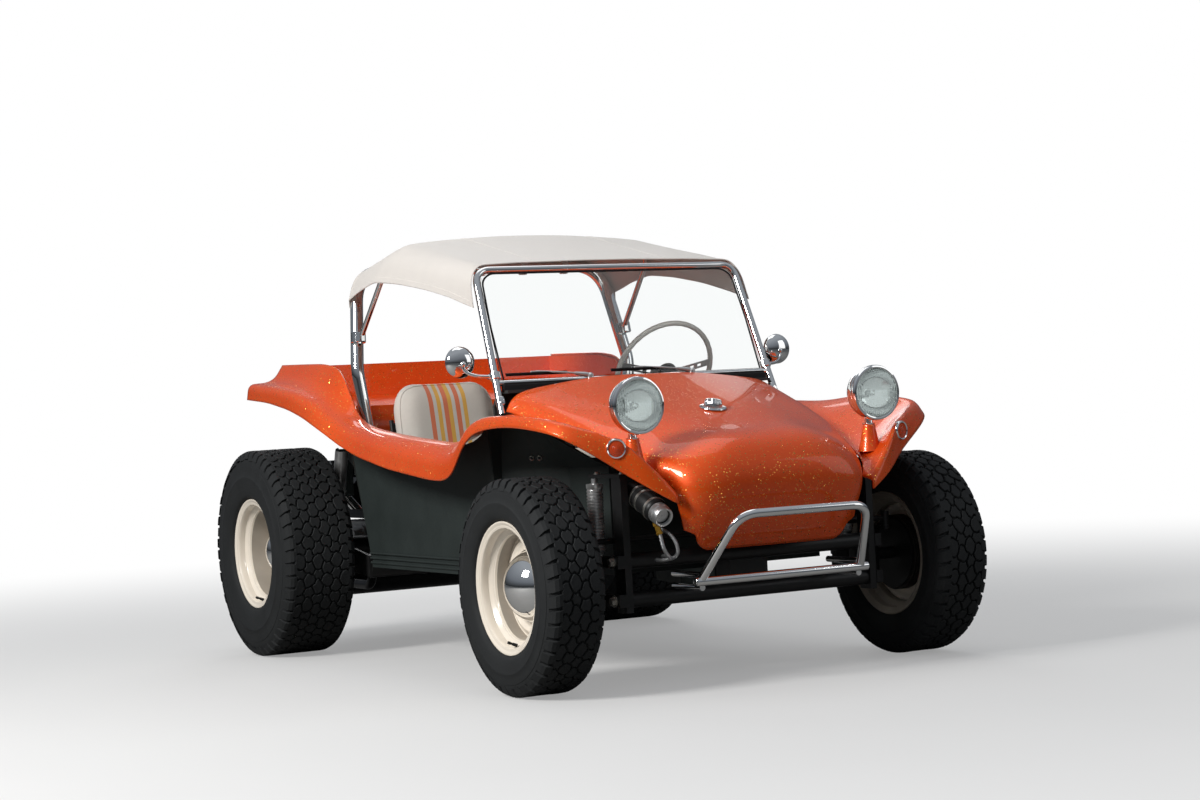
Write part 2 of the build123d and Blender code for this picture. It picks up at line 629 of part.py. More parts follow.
# Steering knuckles: kingpin boss, spindle, backing plate and rearward arm
BOSS_R, SPINDLE_R = 22.0, 20.0
DRUM_INNER_X = FRONT_WHEEL["x"] + FRONT_WHEEL["disc"] - RIM_SHEET - DRUM_DEPTH
for side, hand in ((1, "left"), (-1, "right")):
    boss = Pos(*spot(side * KINGPIN_X, 0, FRONT_RADIUS)) * Cylinder(BOSS_R, 170)
    plate_x = DRUM_INNER_X - 5
    spindle_length = plate_x - KINGPIN_X
    spindle = (Pos(*spot(side * (KINGPIN_X + spindle_length / 2), 0, FRONT_RADIUS))
               * Rot(0, 90, 0) * Cylinder(SPINDLE_R, spindle_length))
    plate = Pos(*spot(side * (plate_x - 2.5), 0, FRONT_RADIUS)) * Rot(0, 90, 0) * Cylinder(118, 5)
    with BuildPart() as knuckle:
        add(boss)
        add(spindle)
        add(plate)
        with BuildSketch(Plane.XY.offset(ARM_Z - 16)):
            with Locations(spot(side * KINGPIN_X, STEER_ARM / 2, 0)[:2]):
                SlotCenterToCenter(abs(STEER_ARM), 28, rotation=90)
        extrude(amount=14)
    keep(knuckle, f"knuckle_{hand}")

# Pitman arm, and the two tie rods that it carries
with BuildPart() as pitman_arm:
    with BuildSketch(Plane.XY.offset(ARM_Z - 16)):
        with Locations(spot(PITMAN_X, STEER_ARM / 2, 0)[:2]):
            SlotCenterToCenter(abs(STEER_ARM), 28, rotation=90)
    extrude(amount=14)
    with BuildSketch(Plane.XY.offset(ARM_Z - 2)):
        with Locations(spot(PITMAN_X, 0, 0)[:2]):
            Circle(13)
    extrude(amount=BOX_FOOT - ARM_Z + 1.5)
keep(pitman_arm, "pitman_arm")

ROD_R = 9.0
rod_ends = ((PITMAN_X + 18, KINGPIN_X), (-KINGPIN_X, PITMAN_X - 18))
STUD_FOOT = ARM_Z - 1.5
with BuildPart() as tie_rods:
    for near, far in rod_ends:
        with BuildSketch(Plane.YZ.offset(near)):
            with Locations((at(STEER_ARM), TIE_ROD_Z)):
                Circle(ROD_R)
        extrude(amount=far - near)
        for x in (near, far):
            with BuildSketch(Plane.XY.offset(STUD_FOOT)):
                with Locations(spot(x, STEER_ARM, 0)[:2]):
                    Circle(13)
            extrude(amount=2 * (TIE_ROD_Z - STUD_FOOT))
keep(tie_rods, "tie_rods")

# Steering wheel on its column shaft
hub_plane = Plane(origin=spot(*WHEEL_CENTRE), x_dir=(1, 0, 0), z_dir=UP_COLUMN)
with BuildPart() as steering_wheel:
    with BuildSketch(Plane(origin=hub_plane.origin, x_dir=hub_plane.x_dir, z_dir=hub_plane.y_dir)):
        with Locations((WHEEL_RIM_R, 0)):
            Circle(10)
    revolve(axis=Axis(hub_plane.origin, hub_plane.z_dir))
    with BuildSketch(hub_plane.offset(-34)):
        Circle(42)
    extrude(amount=22)
    for angle in (0, 120, 240):
        with BuildSketch(hub_plane.offset(-26)):
            with PolarLocations(0, 1, start_angle=angle + 90):
                with Locations((WHEEL_RIM_R / 2, 0)):
                    Rectangle(WHEEL_RIM_R - 6, 24)
        extrude(amount=4)
    with BuildSketch(hub_plane.offset(-330)):
        Circle(10)
    extrude(amount=300)
keep(steering_wheel, "steering_wheel")

# Steering box on the upper beam tube, with the fixed column tube round the shaft
COLUMN_TOP, COLUMN_LENGTH = -120.0, 870.0
with BuildPart() as steering_box:
    with Locations(spot(PITMAN_X, -60, BOX_FOOT + 23)):
        Box(90, 150, 46)
    with Locations(spot(PITMAN_X, BEAM_STATION + 20, BOX_FOOT - 33)):
        Box(60, 30, 67)
    with BuildSketch(hub_plane.offset(COLUMN_TOP - COLUMN_LENGTH)):
        Circle(22)
    extrude(amount=COLUMN_LENGTH)
    with BuildSketch(hub_plane.offset(-335)):
        Circle(10.5)
    extrude(amount=335 + COLUMN_TOP, mode=Mode.SUBTRACT)
keep(steering_box, "steering_box")

# Front axle: two torsion tubes, shock towers and trailing arms
beam_low, beam_high = FRONT_RADIUS - BEAM_SPACING / 2, FRONT_RADIUS + BEAM_SPACING / 2
with BuildPart() as front_axle:
    for z in (beam_low, beam_high):
        with Locations(Pos(*spot(0, BEAM_STATION, z)) * Rot(0, 90, 0)):
            Cylinder(BEAM_TUBE_R, 2 * BEAM_X)
    for side in (1, -1):
        with Locations(spot(side * 457, BEAM_STATION, 450)):
            Box(24, 60, 420)
        with Locations(spot(side * 452, -70, 664)):
            Box(40, 200, 12)
        for z in (beam_low, beam_high):
            with BuildSketch(Plane.YZ.offset(side * (BEAM_X + 12) - 12)):
                with BuildLine():
                    Polyline((at(BEAM_STATION - 32), z - 20), (at(10), z - 14), (at(10), z + 14),
                             (at(BEAM_STATION - 32), z + 20), close=True)
                make_face()
            extrude(amount=24)
        with Locations(spot(side * 520, 0, FRONT_RADIUS)):
            Box(54, 34, 150)
    with Locations(spot(0, -95, FRONT_RADIUS)):
        Box(140, 89, 170)
keep(front_axle, "front_axle")

# Gearbox and the side tubes of the swing axle, spring plates and the torsion tube
with BuildPart() as gearbox:
    with Locations(spot(0, 1920, REAR_RADIUS)):
        Box(200, 340, 200)
    with Locations(Pos(*spot(0, WHEELBASE, REAR_RADIUS)) * Rot(0, 90, 0)):
        Cylinder(125, 290)
    with Locations(spot(0, 2147, 300)):
        Box(340, 30, 44)
keep(gearbox, "gearbox")

REAR_DRUM_X = REAR_WHEEL["x"] + REAR_WHEEL["disc"] - RIM_SHEET - DRUM_DEPTH
TORSION_STATION = 1690.0
with BuildPart() as rear_axle:
    for side in (1, -1):
        length = REAR_DRUM_X - 5 - 146
        with Locations(Pos(*spot(side * (146 + length / 2), WHEELBASE, REAR_RADIUS)) * Rot(0, 90, 0)):
            Cylinder(36, length)
        with Locations(Pos(*spot(side * (REAR_DRUM_X - 8), WHEELBASE, REAR_RADIUS)) * Rot(0, 90, 0)):
            Cylinder(118, 6)
        with BuildSketch(Plane.YZ.offset(side * 540 - 5)):
            with BuildLine():
                Polyline((at(TORSION_STATION - 40), 290), (at(WHEELBASE + 50), REAR_RADIUS - 60),
                         (at(WHEELBASE + 50), REAR_RADIUS + 50), (at(TORSION_STATION - 40), 370), close=True)
            make_face()
        extrude(amount=10)
    with Locations(Pos(*spot(0, TORSION_STATION, 330)) * Rot(0, 90, 0)):
        Cylinder(45, 1070)
keep(rear_axle, "rear_axle")

# Shock absorbers: x at the foot, station at the foot, z at the foot, then the same at the top
SHOCKS = ((470, 0, 414, 468, 0, 657), (500, WHEELBASE + 70, 350, 470, WHEELBASE + 10, 760))
for place, shock in zip(("front", "rear"), SHOCKS):
    shock_set = []
    for side in (1, -1):
        foot, top = (side * shock[0],) + shock[1:3], (side * shock[3],) + shock[4:]
        shock_set.append(tube([spot(*foot), spot(*top)], 12, 0))
        middle = [0.45 * a + 0.55 * b for a, b in zip(foot, top)]
        shock_set.append(tube([spot(*middle), spot(*top)], 26, 0))
    with BuildPart() as shocks:
        add(shock_set)
    keep(shocks, f"{place}_shocks")

# Canister beside the nose
CAN_BACK, CAN_FRONT, CAN_R = (-395, -112, 617), (-395, -300, 533), 38.0
canister_solid = tube([spot(*CAN_BACK), spot(*CAN_FRONT)], CAN_R, 0)
with BuildPart() as canister:
    add(canister_solid)
keep(canister, "canister")

# Air-cooled flat-four engine behind the gearbox: split crankcase, finned barrels and heads, pushrod tubes,
# valve covers and the crank pulley
ENGINE_STATION = 2360.0
CRANK_Z = 390.0
CASE_HALF, CASE_LENGTH = 118.0, 380.0
CASE_TOP, CASE_FOOT = CRANK_Z + 120, CRANK_Z - 105
SEAM_FLANGE, SEAM_DROP = 8.0, 15.0
BARREL_Z = CRANK_Z + 15
BORE_STATIONS = (ENGINE_STATION - 82, ENGINE_STATION + 82)
BARREL_R, BARREL_NEAR = 52.0, CASE_HALF - 4
# width along the engine, height and corner radius of each outline
BARREL_FIN = (150.0, 134.0, 24.0)
HEAD_FIN = (326.0, 134.0, 20.0)
HEAD_BLOCK = (300.0, 100.0, 16.0)
COVER_FLANGE = (318.0, 104.0, 30.0)
COVER_PAN = (302.0, 88.0, 26.0)
HEAD_X, HEAD_END, FLANGE_END, COVER_END = 236.0, 318.0, 326.0, 362.0
FIN, FIN_PITCH = 4.0, 11.0
PUSHROD_OFFSETS, PUSHROD_R, PUSHROD_DROP = (-115, -48, 48, 115), 11.0, 62.0
PULLEY_STATION, PULLEY_HALF, BELT_DEPTH = ENGINE_STATION + 205, 14.0, 10.0
CRANK_PULLEY_R, GENERATOR_PULLEY_R = 88.0, 58.0


def pulley(radius, centre_z):
    """Belt pulley with one V groove, turned about an axis along Y."""
    hub_place = Plane(origin=spot(0, PULLEY_STATION, centre_z), x_dir=(0, 1, 0), z_dir=(1, 0, 0))
    with BuildPart(mode=Mode.PRIVATE) as turned:
        with BuildSketch(hub_place):
            with BuildLine():
                Polyline((-PULLEY_HALF, 0), (-PULLEY_HALF, radius), (-8, radius), (-3, radius - BELT_DEPTH),
                         (3, radius - BELT_DEPTH), (8, radius), (PULLEY_HALF, radius), (PULLEY_HALF, 0),
                         close=True)
            make_face()
        revolve(axis=Axis(hub_place.origin, (0, 1, 0)))
    return turned.part


def fin_planes(near, far):
    """Planes of the cooling fins from x near to x far on both sides of the engine."""
    count = int((far - near - FIN) / FIN_PITCH) + 1
    offsets = [near + n * FIN_PITCH for n in range(count)]
    return [Plane.YZ.offset(x) for x in offsets] + [Plane.YZ.offset(-x - FIN) for x in offsets]


crank_pulley = pulley(CRANK_PULLEY_R, CRANK_Z)
barrel_places = [(at(station), BARREL_Z) for station in BORE_STATIONS]
head_place = (at(ENGINE_STATION), BARREL_Z)
with BuildPart() as engine:
    with BuildSketch(Plane.XZ.offset(-at(ENGINE_STATION - CASE_LENGTH / 2))):
        with BuildLine():
            Polyline((-CASE_HALF, CRANK_Z + 60), (-70, CASE_TOP), (70, CASE_TOP),
                     (CASE_HALF, CRANK_Z + 60), (CASE_HALF, CRANK_Z - 50), (95, CASE_FOOT),
                     (-95, CASE_FOOT), (-CASE_HALF, CRANK_Z - 50), close=True)
        make_face()
    extrude(amount=-CASE_LENGTH)
    with BuildSketch(Plane.YZ.offset(-SEAM_FLANGE / 2)):
        with Locations((at(ENGINE_STATION), (CASE_TOP + CASE_FOOT - SEAM_DROP) / 2)):
            Rectangle(CASE_LENGTH + 10, CASE_TOP - CASE_FOOT + SEAM_DROP)
    extrude(amount=SEAM_FLANGE)
    for side in (1, -1):
        with BuildSketch(Plane.YZ.offset(side * BARREL_NEAR)):
            with Locations(*barrel_places):
                Circle(BARREL_R)
        extrude(amount=side * (HEAD_X - BARREL_NEAR + 4))
        for near, far, outline, lean in ((HEAD_X, HEAD_END, HEAD_BLOCK, 0), (HEAD_END, FLANGE_END, COVER_FLANGE, 0),
                                         (FLANGE_END, COVER_END, COVER_PAN, 10)):
            with BuildSketch(Plane.YZ.offset(side * near)):
                with Locations(head_place):
                    RectangleRounded(*outline)
            extrude(amount=side * (far - near), taper=lean)
        with BuildSketch(Plane.YZ.offset(side * (CASE_HALF - 20))):
            with Locations(*[(at(ENGINE_STATION + offset), CRANK_Z - PUSHROD_DROP) for offset in PUSHROD_OFFSETS]):
                Circle(PUSHROD_R)
        extrude(amount=side * (HEAD_X - CASE_HALF + 30))
        with BuildSketch(Plane.XY.offset(CRANK_Z - PUSHROD_DROP - 6)):
            with Locations((side * (HEAD_X + 12), at(ENGINE_STATION))):
                Rectangle(40, 270)
        extrude(amount=40)
    for near, far, places, outline in ((BARREL_NEAR + 12, HEAD_X, barrel_places, BARREL_FIN),
                                       (HEAD_X, HEAD_END, [head_place], HEAD_FIN)):
        with BuildSketch(*fin_planes(near, far)):
            with Locations(*places):
                RectangleRounded(*outline)
        extrude(amount=FIN)
    add(crank_pulley)
keep(engine, "engine")

# Fan shroud across the engine, with cooling sheets over the barrels, the generator on its stand and the belt
SHROUD_FOOT = CRANK_Z + 131
GENERATOR_Z = CRANK_Z + 262
SHROUD_FRONT, SHROUD_DEPTH = ENGINE_STATION - 20, 90.0
FAN_R, FAN_HUB_R, FAN_DEPTH, BLADES = 92.0, 34.0, 24.0, 12
GENERATOR_R = 53.0
SHEET_NEAR, SHEET_FAR = 126.0, 322.0
generator_pulley = pulley(GENERATOR_PULLEY_R, GENERATOR_Z)
with BuildPart() as fan_shroud:
    with BuildSketch(Plane.XZ.offset(-at(SHROUD_FRONT))):
        with BuildLine():
            Polyline((-320, SHROUD_FOOT), (-320, 600), (-170, 775), (170, 775), (320, 600),
                     (320, SHROUD_FOOT), close=True)
        make_face()
        fillet(vertices().group_by(Axis.Y)[-1], 80)
    extrude(amount=-SHROUD_DEPTH)
    with BuildSketch(Plane.XZ.offset(-at(SHROUD_FRONT))):
        with Locations((0, GENERATOR_Z)):
            Circle(FAN_R)
    extrude(amount=-FAN_DEPTH, mode=Mode.SUBTRACT)
    with BuildSketch(Plane.XZ.offset(-at(SHROUD_FRONT + FAN_DEPTH))):
        with Locations((0, GENERATOR_Z)):
            Circle(FAN_HUB_R)
            with PolarLocations((FAN_R + FAN_HUB_R - 3) / 2, BLADES):
                Rectangle(FAN_R - FAN_HUB_R + 3, 6)
    extrude(amount=FAN_DEPTH - 4)
    for side in (1, -1):
        with BuildSketch(Plane.XZ.offset(-at(ENGINE_STATION - 165))):
            with BuildLine():
                Polyline((side * SHEET_NEAR, CRANK_Z + 128), (side * SHEET_NEAR, CRANK_Z + 135),
                         (side * SHEET_FAR, CRANK_Z + 131), (side * (SHEET_FAR + 4), CRANK_Z + 96),
                         (side * SHEET_FAR, CRANK_Z + 96), (side * (SHEET_FAR - 4), CRANK_Z + 124), close=True)
            make_face()
        extrude(amount=-330)
    with BuildSketch(Plane.XZ.offset(-at(SHROUD_FRONT + SHROUD_DEPTH))):
        with Locations((0, GENERATOR_Z)):
            Circle(GENERATOR_R)
    extrude(amount=-(PULLEY_STATION - PULLEY_HALF - SHROUD_FRONT - SHROUD_DEPTH))
    with BuildSketch(Plane.XY.offset(CASE_TOP + 0.5)):
        with Locations(spot(0, ENGINE_STATION + 120, 0)[:2]):
            Rectangle(86, 92)
    extrude(amount=GENERATOR_Z - CASE_TOP - 0.5, taper=7)
    add(generator_pulley)
keep(fan_shroud, "fan_shroud")

# Belt round the two pulleys, in their grooves
BELT_INNER, BELT_OUTER, BELT_WIDTH = 1.0 - BELT_DEPTH, 8.0 - BELT_DEPTH, 6.0
with BuildPart() as fan_belt:
    with BuildSketch(Plane.XZ.offset(-at(PULLEY_STATION - BELT_WIDTH / 2))):
        for grow, use in ((BELT_OUTER, Mode.ADD), (BELT_INNER, Mode.SUBTRACT)):
            with BuildSketch(mode=use):
                with Locations((0, CRANK_Z)):
                    Circle(CRANK_PULLEY_R + grow)
                with Locations((0, GENERATOR_Z)):
                    Circle(GENERATOR_PULLEY_R + grow)
                make_hull()
    extrude(amount=-BELT_WIDTH)
keep(fan_belt, "fan_belt")

# Exhaust: a cross silencer with two header pipes a side and two tail pipes in collars
SILENCER_STATION, SILENCER_Z, SILENCER_R, SILENCER_HALF = 2500.0, 215.0, 50.0, 310.0
TAIL_X, TAIL_R, TAIL_END = 180.0, 24.0, 2625.0
COLLAR_WALL, COLLAR_END = 7.0, 2553.0
HEADER_X, HEADER_R = 290.0, 18.0
PORT_FRONT = ENGINE_STATION - 130
HEAD_FOOT = BARREL_Z - HEAD_FIN[1] / 2 - 0.5
headers = []
for side in (1, -1):
    x = side * HEADER_X
    headers.append(tube([spot(x, SILENCER_STATION, HEAD_FOOT), spot(x, SILENCER_STATION, SILENCER_Z)],
                        HEADER_R, 0))
    headers.append(tube([spot(x, PORT_FRONT, HEAD_FOOT), spot(x, PORT_FRONT, SILENCER_Z),
                         spot(x, SILENCER_STATION - 30, SILENCER_Z)], HEADER_R, 45))
tails = []
for side in (1, -1):
    collar = Pos(*spot(side * TAIL_X, (SILENCER_STATION + COLLAR_END) / 2, SILENCER_Z)) * Rot(90, 0, 0)
    tails.append(collar * Cylinder(TAIL_R + COLLAR_WALL, COLLAR_END - SILENCER_STATION))
    pipe = Pos(*spot(side * TAIL_X, (SILENCER_STATION + TAIL_END) / 2, SILENCER_Z)) * Rot(90, 0, 0)
    tails.append(pipe * Cylinder(TAIL_R, TAIL_END - SILENCER_STATION))
with BuildPart() as exhaust:
    with Locations(Pos(*spot(0, SILENCER_STATION, SILENCER_Z)) * Rot(0, 90, 0)):
        Cylinder(SILENCER_R, 2 * SILENCER_HALF)
    add(tails)
    add(headers)
keep(exhaust, "exhaust")

# Two carburettors on slanted inlet pipes, each with a round air cleaner between two plates
CLEANER = (375.0, ENGINE_STATION - 80, 690.0)
PLATE_R, INLET_X = 72.0, 298.0
SHEET_TOP = CRANK_Z + 132.5
cleaner_set = []
for side in (1, -1):
    x, station, z = side * CLEANER[0], CLEANER[1], CLEANER[2]
    for height, radius, thick in ((-4, 66, 56), (27, PLATE_R, 8), (-35, PLATE_R, 8)):
        cleaner_set.append(Pos(*spot(x, station, z + height)) * Cylinder(radius, thick))
    cleaner_set.append(Pos(*spot(x, station, z - 75)) * Box(62, 78, 76))
    inlet = tube([spot(x, station, z - 104), spot(side * INLET_X, station, z - 190)], 20, 0)
    cleaner_set.append(inlet - Pos(*spot(side * INLET_X, station, SHEET_TOP - 50)) * Box(120, 60, 100))
with BuildPart() as air_cleaners:
    add(cleaner_set)
keep(air_cleaners, "air_cleaners")
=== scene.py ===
from math import asin, cos, floor, hypot, pi, radians, sin, tau

import bmesh
import bpy
import numpy as np
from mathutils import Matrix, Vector
from mathutils.bvhtree import BVHTree


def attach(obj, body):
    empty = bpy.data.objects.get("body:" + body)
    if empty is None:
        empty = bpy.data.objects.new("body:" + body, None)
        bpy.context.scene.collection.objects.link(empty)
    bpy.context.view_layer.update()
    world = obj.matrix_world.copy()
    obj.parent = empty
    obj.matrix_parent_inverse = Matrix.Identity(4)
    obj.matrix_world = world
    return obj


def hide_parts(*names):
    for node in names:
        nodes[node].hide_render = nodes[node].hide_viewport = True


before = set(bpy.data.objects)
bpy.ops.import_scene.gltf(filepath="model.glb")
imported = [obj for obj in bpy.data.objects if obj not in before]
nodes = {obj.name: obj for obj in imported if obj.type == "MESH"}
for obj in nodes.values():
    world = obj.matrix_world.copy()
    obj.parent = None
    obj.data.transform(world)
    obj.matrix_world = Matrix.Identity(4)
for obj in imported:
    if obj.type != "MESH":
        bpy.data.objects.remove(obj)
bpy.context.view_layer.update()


# Floor pan, footwell, side panels and cowl: steel sheet and glass-fibre sprayed with a matt, slightly
# grainy black that dries greenish. The sill rails under the panels carry three pressed ribs each, and two
# zinc eyelets sit in front of the panels on each side.
FRONT_AXLE = -1.080
SHARP_EDGE = radians(38)


def spot(x, station, z):
    """A point given in millimetres, with its distance behind the front axle, as metres in the frame."""
    return Vector((x / 1000, FRONT_AXLE + station / 1000, z / 1000))


def feed(node, values):
    """Gives a node's sockets their values, or joins them to the sockets that drive them."""
    for socket, value in values.items():
        if isinstance(value, bpy.types.NodeSocket):
            node.id_data.links.new(value, node.inputs[socket])
        else:
            node.inputs[socket].default_value = value


def add_node(tree, kind, values, **modes):
    """A new shader node of that kind, with its modes set first and then its sockets."""
    made = tree.nodes.new(f"ShaderNode{kind}")
    for mode, choice in modes.items():
        setattr(made, mode, choice)
    feed(made, values)
    return made


def new_material(name):
    """An empty material, with its tree, its shader and the object's own coordinates."""
    made = bpy.data.materials.new(name)
    made.use_nodes = True
    tree = made.node_tree
    return made, tree, tree.nodes["Principled BSDF"], add_node(tree, "TexCoord", {}).outputs["Object"]


def finish(name, colour, rough, metal=0.0, mottle=0.08, patch=35, grit=0.0, grit_size=900, coat=0.0):
    """A worn surface: its colour and sheen drift a little over patches, and grit raises a fine grain."""
    made, tree, shader, place = new_material(name)
    cloud = add_node(tree, "TexNoise", {"Scale": patch, "Detail": 5, "Vector": place})
    tint = add_node(tree, "Mix", {"A": (*[c * (1 - mottle) for c in colour], 1),
                                  "B": (*[min(1, c * (1 + mottle)) for c in colour], 1),
                                  "Factor": cloud.outputs["Fac"]}, data_type="RGBA")
    sheen = add_node(tree, "MapRange", {"To Min": max(0.02, rough * 0.8), "To Max": min(1, rough * 1.2),
                                        "Value": cloud.outputs["Fac"]})
    dark_and_dull = max(colour) <= 0.1 and not metal
    feed(shader, {"Metallic": metal, "Coat Weight": coat, "Coat Roughness": 0.05,
                  "Specular IOR Level": 0.3 if dark_and_dull else 0.5,
                  "Base Color": tint.outputs["Result"], "Roughness": sheen.outputs["Result"]})
    if grit:
        grain = add_node(tree, "TexNoise", {"Scale": grit_size, "Detail": 3, "Vector": place})
        raised = add_node(tree, "Bump", {"Strength": grit, "Distance": 0.001, "Height": grain.outputs["Fac"]})
        feed(shader, {"Normal": raised.outputs["Normal"]})
    return made


def coat_nodes(material, slot, *names):
    """CAD pieces whose shape is right only take the material."""
    for name in names:
        mesh = nodes[name].data
        mesh.materials.clear()
        mesh.materials.append(material)


def piece(name, points, faces, material, body="chassis", smooth=True, stands_for=()):
    """A mesh piece of the object, riding on a body, in place of the CAD nodes it stands for."""
    mesh = bpy.data.meshes.new(name)
    mesh.from_pydata([tuple(p) for p in points], [], faces)
    mesh.validate()
    shape = bmesh.new()
    shape.from_mesh(mesh)
    bmesh.ops.recalc_face_normals(shape, faces=shape.faces)
    shape.to_mesh(mesh)
    shape.free()
    mesh.materials.append(material)
    obj = bpy.data.objects.new(name, mesh)
    bpy.context.scene.collection.objects.link(obj)
    if smooth:
        mesh.shade_smooth()
        mesh.set_sharp_from_angle(angle=SHARP_EDGE)
    if stands_for:
        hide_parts(*stands_for)
    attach(obj, body)
    return obj


def joined_rings(rings, sides, loop=False):
    """The faces between one ring of points and the next, and in a loop from the last back to the first."""
    faces = []
    for r in range(rings if loop else rings - 1):
        low, high = r * sides, (r + 1) % rings * sides
        faces += [(low + i, low + (i + 1) % sides, high + (i + 1) % sides, high + i) for i in range(sides)]
    return faces


def end_caps(rings, sides):
    """The faces that close the first and the last ring."""
    return [tuple(range(sides - 1, -1, -1)), tuple((rings - 1) * sides + i for i in range(sides))]


class Heap:
    """Collects the vertices and faces of one piece from simple shapes."""

    def __init__(self):
        self.points, self.faces = [], []

    def add(self, points, faces):
        """Takes in a shape whose faces number its own points."""
        start = len(self.points)
        self.points += [tuple(p) for p in points]
        self.faces += [tuple(start + i for i in face) for face in faces]

    def box(self, centre, size):
        """A box with slightly broken edges, its centre and size in metres."""
        half = [s / 2 for s in size]
        cut = min(0.002, min(half) * 0.4)
        rings = []
        for z, pull in ((-half[2], cut), (-half[2] + cut, 0), (half[2] - cut, 0), (half[2], cut)):
            x, y = half[0] - pull, half[1] - pull
            rings.append([(-x, -y, z), (x, -y, z), (x, y, z), (-x, y, z)])
        points = [Vector(p) + centre for ring in rings for p in ring]
        self.add(points, end_caps(4, 4) + joined_rings(4, 4))

    def turned(self, start, end, outline, sides=24):
        """A turned shape from start to end: outline is (share of the way, radius in metres)."""
        way = end - start
        along = way.normalized()
        across = along.orthogonal().normalized()
        up = along.cross(across)
        points = []
        for share, radius in outline:
            for i in range(sides):
                a = tau * i / sides
                points.append(start + way * share + (across * cos(a) + up * sin(a)) * radius)
        self.add(points, joined_rings(len(outline), sides) + end_caps(len(outline), sides))

    def rod(self, start, end, radius, sides=16):
        """A round bar with its ends just rounded off."""
        soft = min(0.4, 0.3 * radius / max((end - start).length, 1e-6))
        self.turned(start, end, [(0, radius * 0.7), (soft, radius), (1 - soft, radius),
                                 (1, radius * 0.7)], sides=sides)

    def pipe(self, path, radius, sides=16):
        """A round tube along a smooth line of points."""
        path = [Vector(p) for p in path]
        side = (path[1] - path[0]).orthogonal().normalized()
        points = []
        for i, p in enumerate(path):
            way = (path[min(i + 1, len(path) - 1)] - path[max(i - 1, 0)]).normalized()
            side = (side - way * side.dot(way)).normalized()
            other = way.cross(side)
            points += [p + (side * cos(tau * k / sides) + other * sin(tau * k / sides)) * radius
                       for k in range(sides)]
        self.add(points, joined_rings(len(path), sides) + end_caps(len(path), sides))

    def bolt(self, centre, out, radius=0.007):
        """A hexagon bolt head on its washer, standing out along a direction."""
        out = Vector(out).normalized()
        centre = Vector(centre)
        self.turned(centre - out * 0.002, centre + out * 0.002, [(0, radius * 1.5), (1, radius * 1.5)],
                    sides=16)
        self.turned(centre, centre + out * radius * 1.1,
                    [(0, radius * 1.1), (0.75, radius * 1.1), (1, radius * 0.85)], sides=6)

    def make(self, name, material, slot, body="chassis", stands_for=(), smooth=True):
        """Turns what was collected into one piece."""
        return piece(name, self.points, self.faces, material, body, smooth, stands_for)


def rounded(points, bend, steps=10):
    """The straight runs between points, joined by curves that start bend away from each corner."""
    points = [Vector(p) for p in points]
    bends = bend if isinstance(bend, (list, tuple)) else [bend] * (len(points) - 2)
    line = [points[0]]
    for before, corner, after, cut in zip(points, points[1:], points[2:], bends):
        start = corner + (before - corner).normalized() * min(cut, (before - corner).length * 0.5)
        end = corner + (after - corner).normalized() * min(cut, (after - corner).length * 0.5)
        for i in range(steps + 1):
            t = i / steps
            line.append(start * (1 - t) ** 2 + corner * 2 * t * (1 - t) + end * t ** 2)
    line.append(points[-1])
    return line


matt_black = finish("matt black coating", (0.019, 0.025, 0.023), rough=0.62, mottle=0.2, patch=9,
                    grit=0.25, grit_size=700)
coat_nodes(matt_black, "black_textured_paint", "footwell", "floor_pan", "side_panel_left", "side_panel_right")

sill = Heap()
for side in (1, -1):
    for z in (349, 366, 384):
        sill.pipe([spot(side * (563 + (z - 345) * 0.066), s, z) for s in (496, 1040, 1586)], 0.0042, sides=12)
    gusset = ((548, 345), (548, 690), (536, 850), (590, 842), (563, 345))
    near, far = [[spot(side * x, station, z) for x, z in gusset] for station in (487, 493)]
    sill.add(near + far, end_caps(2, len(gusset)) + joined_rings(2, len(gusset)))
sill.make("sill_ribs", matt_black, "black_textured_paint")
eyelets = Heap()
for side in (1, -1):
    out = Vector((side * 0.8, -0.6, -0.25)).normalized()
    for x, station, z in ((479, 400, 725), (464, 374, 724)):
        centre = spot(side * x, station, z)
        eyelets.turned(centre - out * 0.004, centre + out * 0.004,
                       [(0, 0.0100), (0.6, 0.0100), (1, 0.0085), (0.8, 0.0058), (0.3, 0.0052)], sides=24)
bright_zinc = finish("bright zinc", (0.66, 0.64, 0.58), rough=0.3, metal=1.0, mottle=0.1, patch=90)
eyelets.make("eyelets", bright_zinc, "silver_steel")

dash_black = finish("grained dash", (0.035, 0.038, 0.037), rough=0.5, grit=0.5, grit_size=500)
coat_nodes(dash_black, "black_textured_paint", "cowl")

# Front axle and steering: two torsion tubes, towers, trailing arms, knuckles, box and rods, all in satin
# black paint over steel, with zinc-plated bolts.
black_steel = finish("satin black paint", (0.012, 0.012, 0.012), rough=0.40, mottle=0.3, patch=30,
                     grit=0.12, grit_size=350)
coat_nodes(black_steel, "black_steel", "front_axle", "knuckle_left", "knuckle_right", "tie_rods",
           "pitman_arm", "steering_box")
zinc = finish("zinc plating", (0.55, 0.53, 0.48), rough=0.34, metal=1.0, mottle=0.15, patch=60)
rubber = finish("black rubber", (0.010, 0.010, 0.010), rough=0.6, mottle=0.25, patch=40)
chrome = finish("chrome plating", (0.86, 0.86, 0.85), rough=0.05, metal=1.0, mottle=0.03, patch=12)
BEAM_Z = (278.6, 398.6)
axle_bolts = Heap()
for side in (1, -1):
    for z in BEAM_Z:
        axle_bolts.bolt(spot(side * 495, -140, z), (side, 0, 0), radius=0.013)
        for station in (-150, -130):
            axle_bolts.bolt(spot(side * 110, station, z + 25), (0, 0, 1), radius=0.006)
    for z in (300, 378):
        axle_bolts.bolt(spot(side * 548, 0, z), (side, 0, 0), radius=0.009)
    for station in (-150, 10):
        axle_bolts.bolt(spot(side * 452, station, 670), (0, 0, 1), radius=0.007)
axle_bolts.make("axle_bolts", zinc, "silver_steel")

